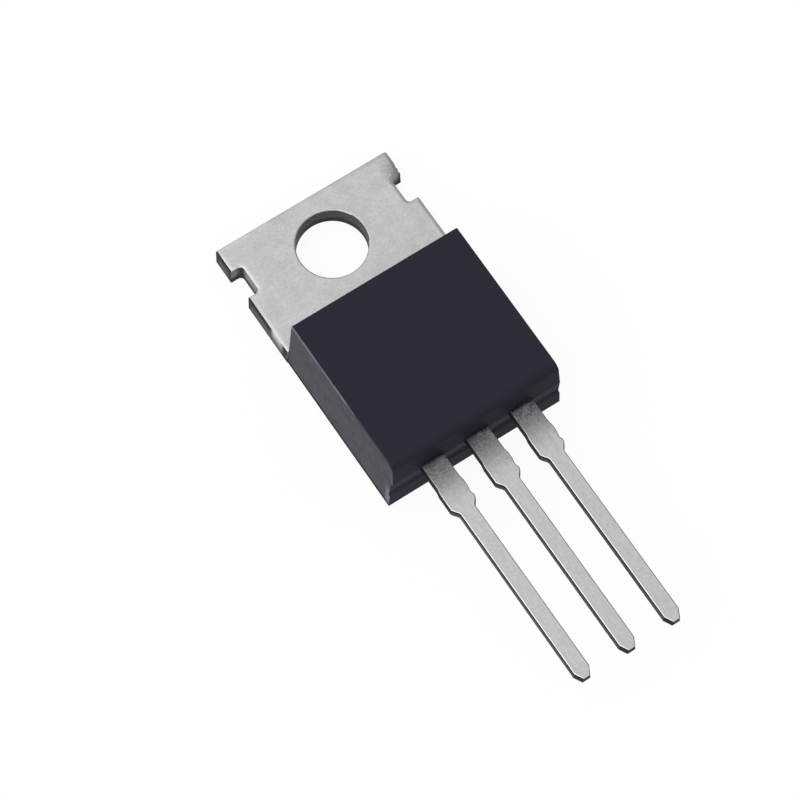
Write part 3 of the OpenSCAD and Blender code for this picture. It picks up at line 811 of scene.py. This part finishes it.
def painted_edge_highlight(colour, edge_highlight):
    """Painted highlight along an edge of the moulding, where light would catch its rounding: a thin pale line, brighter
    in places, that ends past the middle of the body."""
    material, tree, place = new_finish("Worn epoxy edge")
    patchiness = add_node(tree, "ShaderNodeTexNoise",
                      {"Vector": place, "Scale": 1 / (1.2 * MM), "Detail": 4, "Roughness": 0.7})
    patches = add_node(tree, "ShaderNodeMapRange",
                       {"Value": patchiness.outputs["Fac"], "From Min": 0.25, "From Max": 0.5})
    ahead = add_node(tree, "ShaderNodeSeparateXYZ", {"Vector": place}).outputs["Y"]
    reached = add_node(tree, "ShaderNodeMapRange",
                       {"Value": ahead, "From Min": body_low.y + 3.3 * MM, "From Max": body_low.y + 4.2 * MM})
    amount = add_node(tree, "ShaderNodeMath",
                      {0: patches.outputs["Result"], 1: reached.outputs["Result"]}, operation="MULTIPLY")
    tinted = add_node(tree, "ShaderNodeMix",
                      {"Factor": amount.outputs["Value"], "A": shaded(colour, 1.3), "B": shaded(edge_highlight, 1)},
                      data_type="RGBA")
    shader = add_node(tree, "ShaderNodeBsdfPrincipled",
                      {"Base Color": tinted.outputs["Result"], "Roughness": 0.4, "IOR": 1.5,
                       "Specular IOR Level": 0.3})
    add_node(tree, "ShaderNodeOutputMaterial", {"Surface": shader.outputs["BSDF"]})
    return material


def metallised_silicon(colour):
    """Sawn silicon with an aluminium pattern on its face: dark grey with paler square pads."""
    material, tree, place = new_finish("Metallised silicon")
    cells = add_node(tree, "ShaderNodeTexVoronoi",
                     {"Vector": place, "Scale": 1 / (0.35 * MM), "Randomness": 0.35}, distance="CHEBYCHEV")
    pads = add_node(tree, "ShaderNodeMapRange",
                    {"Value": cells.outputs["Distance"], "From Min": 0.38, "From Max": 0.42})
    tinted = add_node(tree, "ShaderNodeMix",
                      {"Factor": pads.outputs["Result"], "A": shaded(colour, 1.5), "B": shaded(colour, 0.7)},
                      data_type="RGBA")
    shader = add_node(tree, "ShaderNodeBsdfPrincipled",
                      {"Base Color": tinted.outputs["Result"], "Metallic": 0.6, "Roughness": 0.25})
    add_node(tree, "ShaderNodeOutputMaterial", {"Surface": shader.outputs["BSDF"]})
    return material


def soft_solder(colour):
    """Soft solder that has run out under the chip: dull grey with a wrinkled skin."""
    material, tree, place = new_finish("Soft solder")
    skin = add_node(tree, "ShaderNodeTexNoise",
                    {"Vector": place, "Scale": 1 / (0.15 * MM), "Detail": 3, "Roughness": 0.6})
    tinted = add_node(tree, "ShaderNodeMix",
                      {"Factor": skin.outputs["Fac"], "A": shaded(colour, 0.8), "B": shaded(colour, 1.15)},
                      data_type="RGBA")
    bump = add_node(tree, "ShaderNodeBump",
                    {"Height": skin.outputs["Fac"], "Strength": 0.5, "Distance": 0.01 * MM})
    shader = add_node(tree, "ShaderNodeBsdfPrincipled",
                      {"Base Color": tinted.outputs["Result"], "Metallic": 1.0, "Roughness": 0.4,
                       "Normal": bump.outputs["Normal"]})
    add_node(tree, "ShaderNodeOutputMaterial", {"Surface": shader.outputs["BSDF"]})
    return material


def drawn_aluminium(colour):
    """Drawn aluminium wire: bright, with fine draw marks."""
    material, tree, place = new_finish("Drawn aluminium")
    marks = add_node(tree, "ShaderNodeTexNoise",
                     {"Vector": place, "Scale": 1 / (0.05 * MM), "Detail": 2, "Roughness": 0.5})
    tinted = add_node(tree, "ShaderNodeMix",
                      {"Factor": marks.outputs["Fac"], "A": shaded(colour, 0.88), "B": shaded(colour, 1.06)},
                      data_type="RGBA")
    bump = add_node(tree, "ShaderNodeBump",
                    {"Height": marks.outputs["Fac"], "Strength": 0.2, "Distance": 0.003 * MM})
    shader = add_node(tree, "ShaderNodeBsdfPrincipled",
                      {"Base Color": tinted.outputs["Result"], "Metallic": 1.0, "Roughness": 0.3,
                       "Normal": bump.outputs["Normal"]})
    add_node(tree, "ShaderNodeOutputMaterial", {"Surface": shader.outputs["BSDF"]})
    return material


def finish(name):
    """The finish of that name, made the first time that a piece asks for it."""
    colours = bpy.context.scene.regulator_finishes
    tab = bpy.context.scene.regulator_tab
    notch_y = spreader_high.y - tab.notch_set
    notch_x = half_width - tab.notch_depth
    tab_corners = [(side * half_width, y, 0) for side in (-1, 1)
                   for y in (spreader_high.y, notch_y, notch_y - tab.notch_length, body_high.y + RUN_REACH)]
    notch_corners = [(-notch_x, notch_y, 0), (half_width, notch_y, 0)]
    dent = (half_width, notch_y + DENT_REACH, tab_top)
    recipes = {
        "Matte tin plate": lambda: matte_tin("Matte tin plate", colours.tab_tin, colours.bruise_and_dent_shade, dent),
        "Dull tab rim": lambda: matte_tin("Dull tab rim", colours.tab_rim_shade, colours.bruise_and_dent_shade, dent),
        "Satin tin plate": lambda: satin_tin(
            "Satin tin plate", colours.lead_tin, colours.bleed_and_shade, colours.epoxy),
        "Dull lead rim": lambda: satin_tin(
            "Dull lead rim", colours.lead_rim_shade, colours.bleed_and_shade, colours.epoxy),
        "Bright lead rim": lambda: satin_tin(
            "Bright lead rim", colours.lead_rim_highlight, colours.bleed_and_shade, colours.epoxy),
        "Sheared tab side": lambda: sheared_edge(
            "Sheared tab side", 0, tab_top, (0.8, 0.55), colours.side_burnish, colours.side_tear, tab_corners,
            (-half_width, body_high.y + SMEAR_REACH, 0), colours.tab_tin),
        "Punched notch": lambda: sheared_edge(
            "Punched notch", 0, tab_top, (0.25, 0.45), colours.notch_burnish, colours.notch_tear,
            notch_corners, (notch_x, notch_y, 0), colours.tab_tin),
        "Punched hole": lambda: sheared_edge(
            "Punched hole", 0, tab_top, (0.25, 0.5), colours.hole_burnish, colours.hole_tear),
        "Sheared lead edge": lambda: sheared_edge(
            "Sheared lead edge", lead_low.z, lead_high.z, (0.75, 0.5), colours.lead_burnish,
            colours.lead_tear),
        # at the root this near-black finish is also painted shade from the moulding; at the tip it is torn metal
        "Torn lead edge": lambda: sheared_edge(
            "Torn lead edge", lead_low.z, lead_high.z, (0.75, 0.5), colours.lead_tear, colours.lead_tear),
        "Moulded epoxy": lambda: moulded_epoxy("Moulded epoxy", colours.epoxy),
        # the foot's ledge is painted paler than the rest, a painted light that lifts the shade under the overhang above
        # it
        "Trimmed epoxy": lambda: moulded_epoxy("Trimmed epoxy", shaded(colours.epoxy, 1.6)[:3]),
        "Rubbed epoxy": lambda: rubbed_epoxy(colours.epoxy, colours.painted_edge_highlight),
        "Worn epoxy edge": lambda: painted_edge_highlight(colours.epoxy, colours.painted_edge_highlight),
        "Metallised silicon": lambda: metallised_silicon(colours.silicon),
        "Soft solder": lambda: soft_solder(colours.solder),
        "Drawn aluminium": lambda: drawn_aluminium(colours.aluminium),
    }
    return bpy.data.materials.get(name) or recipes[name]()


def choose_lead_finish(face):
    """Front and back of a lead are plated, with a painted highlight on its left front rim and a painted shade on its
    right one, and its walls are sheared. They are torn at the root, where the tie bar was cut off, and at the tip; at
    the root their dark finish is also painted shade from the moulding."""
    if face.normal.z > WALL_SLOPE and abs(face.normal.x) > RIM_SLOPE:
        # a rim leaning to +X gets painted shade, one leaning to -X a painted highlight
        return "Dull lead rim" if face.normal.x > 0 else "Bright lead rim"
    if abs(face.normal.z) > WALL_SLOPE:
        return "Satin tin plate"
    leads = bpy.context.scene.regulator_leads
    middle = face.calc_center_median()
    # the root's dark walls are partly torn metal and partly painted shade from the moulding
    cut = middle.y > body_low.y - leads.root_length or middle.y < spreader_low.y + leads.tip_bevel
    return "Torn lead edge" if cut else "Sheared lead edge"


def choose_spreader_finish(face):
    """The tab is matte and the centre lead satin. The tab's walls differ with the punch."""
    middle = face.calc_center_median()
    if middle.y < body_low.y + lead_thickness:
        return choose_lead_finish(face)
    if abs(face.normal.z) > (LEFT_RIM_SLOPE if face.normal.x < -WALL_SLOPE else WALL_SLOPE):
        # rims that lean to +X get the painted shade, the others the plain plate
        return "Dull tab rim" if face.normal.x > RIM_SLOPE else "Matte tin plate"
    if abs(middle.x) > half_width - EDGE_DEPTH or middle.y > spreader_high.y - EDGE_DEPTH:
        return "Sheared tab side"
    return "Punched notch" if abs(middle.x) > half_width / 2 else "Punched hole"


def choose_body_finish(face):
    """The moulding's two long sides are rubbed, its left front edge has a painted highlight, and the ledge of its foot
    is painted lighter against the shade under the overhang."""
    if abs(face.normal.x) > SIDE_SLOPE:
        return "Rubbed epoxy"
    # front edges leaning to -X get the painted highlight
    if face.normal.x < -EDGE_SLOPE and face.normal.z > 0:
        return "Worn epoxy edge"
    ledge = face.normal.y < -WALL_SLOPE and face.normal.z > WALL_SLOPE
    return "Trimmed epoxy" if ledge and face.calc_center_median().z < tab_top else "Moulded epoxy"


# Operators

# Where the photograph was taken from, and the point on the floor that it looks at
CAMERA_PLACE = Vector((-40.554, -65.937, 169.537)) * MM
CAMERA_AIM = Vector((-1.479, -8.294, 0)) * MM
CAMERA_ROLL = radians(0.78)
CAMERA_LENS = 170.02
SOFTBOX_DIRECTION = Vector((-0.5, 0.1, 0.86))
FLOOR_GAP = 0.02 * MM


class REGULATOR_OT_stage(bpy.types.Operator):
    """Adds the floor, the camera, the softbox and the room's light"""
    bl_idname = "regulator.stage"
    bl_label = "Set the stage"
    bl_options = {"REGISTER", "UNDO"}

    def execute(self, context):
        scene = context.scene
        stage = scene.regulator_stage
        scene.view_settings.view_transform = "Standard"
        self.add_floor(stage, scene.regulator_finishes.floor)
        self.add_camera(scene)
        self.add_softbox(scene, stage)
        self.light_room(scene, stage)
        return {"FINISHED"}

    def add_floor(self, stage, colour):
        """The floor lies just under the regulator and can be seen from above only."""
        bm = bmesh.new()
        bmesh.ops.create_grid(bm, x_segments=1, y_segments=1, size=stage.floor_size / 2,
                              matrix=Matrix.Translation((0, 0, -FLOOR_GAP)))
        floor = add_piece(bm, "floor")
        material, tree, place = new_finish("Plain white floor")
        plain = add_node(tree, "ShaderNodeBsdfDiffuse", {"Color": (*colour, 1)})
        white = add_node(tree, "ShaderNodeEmission", {"Strength": 1.0})
        clear = add_node(tree, "ShaderNodeBsdfTransparent")
        path = add_node(tree, "ShaderNodeLightPath").outputs
        mirrored_ray = add_node(tree, "ShaderNodeMath",
                                {0: path["Is Glossy Ray"], 1: path["Is Transmission Ray"]}, operation="MAXIMUM")
        seen = add_node(tree, "ShaderNodeMath",
                        {0: path["Is Camera Ray"], 1: mirrored_ray.outputs["Value"]}, operation="MAXIMUM")
        share = add_node(tree, "ShaderNodeMath",
                         {0: seen.outputs["Value"], 1: stage.floor_white}, operation="MULTIPLY")
        top = add_node(tree, "ShaderNodeMixShader",
                       {"Fac": share.outputs["Value"], 1: plain.outputs["BSDF"], 2: white.outputs["Emission"]})
        behind = add_node(tree, "ShaderNodeNewGeometry").outputs["Backfacing"]
        either = add_node(tree, "ShaderNodeMixShader",
                          {"Fac": behind, 1: top.outputs["Shader"], 2: clear.outputs["BSDF"]})
        add_node(tree, "ShaderNodeOutputMaterial", {"Surface": either.outputs["Shader"]})
        floor.data.materials.append(material)

    def add_camera(self, scene):
        data = bpy.data.cameras.new("camera")
        data.lens = CAMERA_LENS
        data.sensor_width = 36
        data.clip_start = 0.01
        camera = bpy.data.objects.new("camera", data)
        turn = (CAMERA_AIM - CAMERA_PLACE).to_track_quat("-Z", "Y").to_matrix().to_4x4()
        camera.matrix_world = Matrix.Translation(CAMERA_PLACE) @ turn @ Matrix.Rotation(CAMERA_ROLL, 4, "Z")
        scene.collection.objects.link(camera)
        scene.camera = camera

    def add_softbox(self, scene, stage):
        data = bpy.data.lights.new("softbox", "AREA")
        data.shape = "SQUARE"
        data.size = stage.softbox_size
        # an area lamp of this power shows the level that its brightness names
        data.energy = stage.softbox_level * pi * stage.softbox_size ** 2
        softbox = bpy.data.objects.new("softbox", data)
        direction = SOFTBOX_DIRECTION.normalized()
        softbox.matrix_world = (Matrix.Translation(direction * stage.softbox_distance)
                                @ direction.to_track_quat("Z", "Y").to_matrix().to_4x4())
        scene.collection.objects.link(softbox)

    def light_room(self, scene, stage):
        """The room is brightest round the softbox and dims away from it."""
        world = bpy.data.worlds.new("studio")
        world.use_nodes = True
        tree = world.node_tree
        tree.nodes.clear()
        direction = add_node(tree, "ShaderNodeTexCoord").outputs["Generated"]
        facing = add_node(tree, "ShaderNodeVectorMath",
                          {0: direction, 1: SOFTBOX_DIRECTION.normalized()}, operation="DOT_PRODUCT")
        level = add_node(tree, "ShaderNodeMapRange",
                         {"Value": facing.outputs["Value"], "From Min": -0.4, "From Max": 0.9,
                          "To Min": stage.horizon_level, "To Max": stage.room_level})
        light = add_node(tree, "ShaderNodeBackground", {"Strength": level.outputs["Result"]})
        light.inputs["Color"].default_value = (1, 1, 1, 1)
        add_node(tree, "ShaderNodeOutputWorld", {"Surface": light.outputs["Background"]})
        scene.world = world


class REGULATOR_OT_heat_spreader(bpy.types.Operator):
    """Stamps the tab with its pad and forms the centre lead up from it"""
    bl_idname = "regulator.heat_spreader"
    bl_label = "Stamp the tab and centre lead"
    bl_options = {"REGISTER", "UNDO"}

    def execute(self, context):
        tab = context.scene.regulator_tab
        leads = context.scene.regulator_leads
        self.lift_turn = tab.lift_slope
        middle_radius = tab.lift_radius + lead_thickness / 2
        rise = lead_high.z - tab_top
        self.straight = (rise - 2 * middle_radius * (1 - cos(tab.lift_slope))) / sin(tab.lift_slope)
        lift_run = 2 * middle_radius * sin(tab.lift_slope) + self.straight * cos(tab.lift_slope)
        self.level_y = body_low.y + tab.lift_cover
        self.pad_y = self.level_y + lift_run + tab.lift_set
        spreader = self.stamp_tab(tab)
        lead = self.form_lead(tab, leads)
        cutters = self.pad_cutters(tab)
        combine(spreader, [lead], "UNION")
        combine(spreader, cutters, "DIFFERENCE")
        remove([lead, *cutters])
        names = ("Matte tin plate", "Dull tab rim", "Sheared tab side", "Punched notch", "Punched hole",
                 *LEAD_FINISHES)
        dress(spreader, {name: finish(name) for name in names}, choose_spreader_finish)
        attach(spreader, "root")
        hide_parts("heat_spreader")
        return {"FINISHED"}

    def stamp_tab(self, tab):
        """The tab and its pad, whose front overhangs its back where the moulding grips it."""
        pad_half = half_width - tab.pad_side
        notch_x = half_width - tab.notch_depth
        notch_high = spreader_high.y - tab.notch_set
        notch_low = notch_high - tab.notch_length
        right = [(pad_half, self.pad_y, 0), (pad_half, body_high.y, 0), (half_width, body_high.y, 0),
                 (half_width, notch_low, 0), (notch_x, notch_low, tab.notch_radius),
                 (notch_x, notch_high, tab.notch_radius), (half_width, notch_high, 0),
                 (half_width, spreader_high.y, 0)]
        bm = bmesh.new()
        add_plate(bm, right + mirrored(right), tab_top, tab_top, [(0, 0, tab.hole_diameter)])
        hole_reach = tab.hole_diameter / 2 + NEAR
        for z in (0, tab_top):
            round_edges(bm, rim_edges(bm, z, lambda middle: middle.xy.length < hole_reach), tab.hole_bevel)
        lean_out(bm, 0, 0, half_width - NEAR, tab.burr)
        front = rim_edges(bm, tab_top, lambda middle: middle.y > body_high.y + NEAR
                          and middle.xy.length > hole_reach + tab.hole_bevel)
        roll_over(bm, front, tab_top, tab.roll_width, tab.roll_depth)
        self.round_corners(bm, tab)
        self.press_dent(bm, tab, notch_high)
        for z in (tab.pad_key_height, tab.pad_key_height + tab.pad_key):
            bmesh.ops.bisect_plane(bm, geom=[*bm.verts, *bm.edges, *bm.faces], dist=NEAR / 10,
                                   plane_co=(0, 0, z), plane_no=(0, 0, 1))
        for side in (-1, 1):
            foot = [vert for vert in bm.verts if vert.co.z < tab.pad_key_height + NEAR
                    and vert.co.y < body_high.y + NEAR and abs(vert.co.x * side - pad_half) < NEAR]
            bmesh.ops.translate(bm, verts=foot, vec=(-side * tab.pad_key, 0, 0))
        return add_piece(bm, "stamped_heat_spreader")

    def round_corners(self, bm, tab):
        """Rounds the tab's two outer corners, up to where their edges fade out in the roll-over."""
        corners = []
        for edge in bm.edges:
            ins = [(half_width - abs(vert.co.x), spreader_high.y - vert.co.y) for vert in edge.verts]
            if all(abs(x - y) < NEAR and x < tab.roll_width / 2 for x, y in ins):
                corners.append(edge)
        round_edges(bm, corners, tab.corner_radius)

    def press_dent(self, bm, tab, start_y):
        """Presses the front's right rim down and in at a few spots from start_y on."""
        for spot in range(1, len(DENT_DEPTHS) + 1):
            strip = [face for face in bm.faces if face.calc_center_median().x > half_width - tab.roll_width]
            parts = {part for face in strip for part in (face, *face.edges, *face.verts)}
            bmesh.ops.bisect_plane(bm, geom=list(parts), dist=NEAR / 10, plane_no=(0, 1, 0),
                                   plane_co=(0, start_y + spot * tab.dent_spacing, 0))
        for vert in bm.verts:
            spot = round((vert.co.y - start_y) / tab.dent_spacing)
            rim = vert.co.x > half_width - tab.roll_width + NEAR and vert.co.z > tab_top / 2
            if rim and 0 <= spot < len(DENT_DEPTHS):
                vert.co.z -= DENT_DEPTHS[spot]
                vert.co.x -= DENT_DEPTHS[spot] / 2

    def form_lead(self, tab, leads):
        """The centre lead, stamped flat and then bent down to the pad's front."""
        right = lead_edge(leads, self.level_y, True)
        left = lead_edge(leads, self.level_y, False)
        bm = bmesh.new()
        add_plate(bm, right + mirrored(left), lead_high.z, lead_thickness)
        shear_lead(bm, leads, 0, self.level_y)
        end = max(bm.faces, key=lambda face: face.calc_center_median().y if face.normal.y > 0.9 else -1)
        end = spin_face(bm, end, (0, self.level_y, lead_low.z - tab.lift_radius), -self.lift_turn)
        end = extrude_face(bm, end, end.normal * self.straight)
        bend = (0, self.pad_y - tab.lift_set, tab_top + tab.lift_radius)
        end = spin_face(bm, end, bend, self.lift_turn)
        extrude_face(bm, end, (0, 2 * tab.lift_set, 0))
        bmesh.ops.recalc_face_normals(bm, faces=list(bm.faces))
        return add_piece(bm, "centre_lead")

    def pad_cutters(self, tab):
        """Tools that cut the groove across the pad and the anchor notches in its sides."""
        groove_y = body_high.y - tab.groove_set
        half_groove = tab.groove_width / 2
        corners = [(groove_y, tab_top - tab.groove_depth, 0), (groove_y + half_groove, tab_top, 0),
                   (groove_y + half_groove, tab_top + MM, 0), (groove_y - half_groove, tab_top + MM, 0),
                   (groove_y - half_groove, tab_top, 0)]
        bm = bmesh.new()
        add_outline(bm, corners, lambda y, z: (-half_width, y, z))
        thicken(bm, (2 * half_width, 0, 0))
        cutters = [add_piece(bm, "groove_cutter")]
        for side in (-1, 1):
            bm = bmesh.new()
            centre = (side * (half_width - tab.pad_side), body_high.y - tab.anchor_set, tab_top / 2)
            bmesh.ops.create_cone(bm, cap_ends=True, segments=HOLE_STEPS // 2, radius1=tab.anchor_radius,
                                  radius2=tab.anchor_radius, depth=2 * tab_top,
                                  matrix=Matrix.Translation(centre))
            cutters.append(add_piece(bm, "anchor_cutter"))
        return cutters


class REGULATOR_OT_side_leads(bpy.types.Operator):
    """Stamps the input and output leads with their bonding posts"""
    bl_idname = "regulator.side_leads"
    bl_label = "Stamp the side leads"
    bl_options = {"REGISTER", "UNDO"}

    def execute(self, context):
        leads = context.scene.regulator_leads
        self.stamp_lead(leads, "input_lead", -1)
        self.stamp_lead(leads, "output_lead", 1)
        return {"FINISHED"}

    def stamp_lead(self, leads, node, side):
        """A lead at -X or +X, with its post widened away from the middle."""
        post_low = body_low.y + leads.post_cover
        post_high = lead_high.y
        outer = leads.pitch - half_width + leads.post_side
        half_root = leads.root_width / 2
        inner_edge = lead_edge(leads, post_low, side < 0)
        outer_edge = lead_edge(leads, post_low, side > 0)
        corners = [(outer, post_high, leads.post_radius), (half_root, post_high, leads.post_radius),
                   *inner_edge, *mirrored(outer_edge), (outer, post_low, leads.post_radius)]
        # the inner edge runs straight on into the post
        corners.remove((half_root, post_low, 0))
        placed = [(side * (leads.pitch - x), y, reach) for x, y, reach in corners]
        hole = (side * (leads.pitch - outer - leads.post_hole), post_low + leads.post_hole, leads.post_hole)
        bm = bmesh.new()
        add_plate(bm, placed, lead_high.z, lead_thickness, [hole])
        shear_lead(bm, leads, side * leads.pitch, body_low.y + leads.post_cover)
        lead = add_piece(bm, "stamped_" + node)
        dress(lead, {name: finish(name) for name in LEAD_FINISHES}, choose_lead_finish)
        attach(lead, "root")
        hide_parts(node)


class REGULATOR_OT_moulding(bpy.types.Operator):
    """Moulds the body round the frame, the chip and the wires"""
    bl_idname = "regulator.moulding"
    bl_label = "Mould the body"
    bl_options = {"REGISTER", "UNDO"}

    def execute(self, context):
        sizes = context.scene.regulator_moulding
        frame_pieces = [bpy.data.objects.get("stamped_" + name)
                        for name in ("heat_spreader", "input_lead", "output_lead")]
        if None in frame_pieces:
            raise RuntimeError("The leads are stamped before the body is moulded round them")
        body = self.mould_block(sizes)
        inner = [node_copy(name) for name in INNER_NODES]
        pins = self.ejector_pins(sizes, context.scene.regulator_tab)
        combine(body, frame_pieces + inner + pins, "DIFFERENCE")
        remove(inner + pins)
        names = ("Moulded epoxy", "Rubbed epoxy", "Worn epoxy edge", "Trimmed epoxy")
        dress(body, {name: finish(name) for name in names}, choose_body_finish)
        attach(body, "root")
        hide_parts("moulded_body")
        return {"FINISHED"}

    def mould_block(self, sizes):
        """The side view drawn at X = 0 is widened, and each wall then leans in by its draft."""
        parting_z = (lead_low.z + lead_high.z) / 2
        start_y, end_y, top = body_high.y, body_low.y, body_high.z
        front_start = start_y - (top - tab_top) * tan(sizes.tab_end_draft)
        front_end = end_y + (top - parting_z) * tan(sizes.lead_end_draft)
        foot_in = end_y + (parting_z - tab_top) * tan(sizes.foot_draft)
        end_reach = sizes.end_radius * tan((pi / 2 - sizes.lead_end_draft) / 2)
        corners = [(start_y, 0, 0), (start_y, tab_top, 0), (front_start, top, 0), (front_end, top, end_reach),
                   (end_y, parting_z, 0), (foot_in, tab_top, 0),
                   (foot_in - sizes.foot_step, tab_top - sizes.foot_bevel, 0), (foot_in - sizes.foot_step, 0, 0)]
        bm = bmesh.new()
        add_outline(bm, corners, lambda y, z: (-half_width, y, z))
        thicken(bm, (2 * half_width, 0, 0))
        for vert in bm.verts:
            vert.co.x = copysign(half_width - vert.co.z * tan(sizes.side_draft), vert.co.x)
        rims = [edge for edge in bm.edges if edge.calc_face_angle() > radians(60)
                and (edge.verts[0].co.z + edge.verts[1].co.z) / 2 > tab_top + NEAR]
        round_edges(bm, rims, sizes.edge_radius)
        return add_piece(bm, "moulded_epoxy_body")

    def ejector_pins(self, sizes, tab):
        """Tools for the two round marks that the ejector pins leave on the back."""
        pad_half = half_width - tab.pad_side
        pins = []
        for side in (-1, 1):
            bm = bmesh.new()
            pad_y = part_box("moulded_body")[0].y
            centre = (side * pad_half / 2, (pad_y + self.pad_end(tab)) / 2, 0)
            bmesh.ops.create_cone(bm, cap_ends=True, segments=HOLE_STEPS // 2, depth=2 * sizes.ejector_depth,
                                  radius1=sizes.ejector_diameter / 2, radius2=sizes.ejector_diameter / 2,
                                  matrix=Matrix.Translation(centre))
            pins.append(add_piece(bm, "ejector_pin"))
        return pins

    def pad_end(self, tab):
        """Where the pad ends inside the moulding."""
        middle_radius = tab.lift_radius + lead_thickness / 2
        rise = lead_high.z - tab_top
        straight = (rise - 2 * middle_radius * (1 - cos(tab.lift_slope))) / sin(tab.lift_slope)
        lift_run = 2 * middle_radius * sin(tab.lift_slope) + straight * cos(tab.lift_slope)
        return body_low.y + tab.lift_cover + lift_run + tab.lift_set


class REGULATOR_OT_chip(bpy.types.Operator):
    """Finishes the chip and its solder"""
    bl_idname = "regulator.chip"
    bl_label = "Finish the chip and solder"
    bl_options = {"REGISTER", "UNDO"}

    def execute(self, context):
        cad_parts["silicon_die"].material_slots[0].material = finish("Metallised silicon")
        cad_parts["die_solder"].material_slots[0].material = finish("Soft solder")
        return {"FINISHED"}


class REGULATOR_OT_wires(bpy.types.Operator):
    """Finishes the bonded wires"""
    bl_idname = "regulator.wires"
    bl_label = "Finish the bonded wires"
    bl_options = {"REGISTER", "UNDO"}

    def execute(self, context):
        for name in INNER_NODES:
            if name.endswith("_wire"):
                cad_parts[name].material_slots[0].material = finish("Drawn aluminium")
        return {"FINISHED"}


OPERATORS = (REGULATOR_OT_stage, REGULATOR_OT_heat_spreader, REGULATOR_OT_side_leads, REGULATOR_OT_moulding,
             REGULATOR_OT_chip, REGULATOR_OT_wires)


class REGULATOR_PT_sidebar(bpy.types.Panel):
    """Lists the steps that make the regulator, and its sizes and colours"""
    bl_idname = "REGULATOR_PT_sidebar"
    bl_label = "Regulator"
    bl_space_type = "VIEW_3D"
    bl_region_type = "UI"
    bl_category = "Regulator"

    def draw(self, context):
        for operator in OPERATORS:
            self.layout.operator(operator.bl_idname)
        for name in GROUPS:
            box = self.layout.box()
            group = getattr(context.scene, name)
            for key in group.__annotations__:
                box.prop(group, key)


GROUPS = {"regulator_tab": RegulatorTab, "regulator_leads": RegulatorLeads,
          "regulator_moulding": RegulatorMoulding, "regulator_finishes": RegulatorFinishes,
          "regulator_stage": RegulatorStage}


def register():
    for group in (*GROUPS.values(), *OPERATORS, REGULATOR_PT_sidebar):
        bpy.utils.register_class(group)
    for name, group in GROUPS.items():
        setattr(bpy.types.Scene, name, PointerProperty(type=group))


def unregister():
    for name in GROUPS:
        delattr(bpy.types.Scene, name)
    for group in reversed((*GROUPS.values(), *OPERATORS, REGULATOR_PT_sidebar)):
        bpy.utils.unregister_class(group)


def main():
    """Makes the regulator and its stage."""
    register()
    bpy.ops.regulator.stage()
    bpy.ops.regulator.heat_spreader()
    bpy.ops.regulator.side_leads()
    bpy.ops.regulator.moulding()
    bpy.ops.regulator.chip()
    bpy.ops.regulator.wires()


if __name__ == "__main__":
    main()
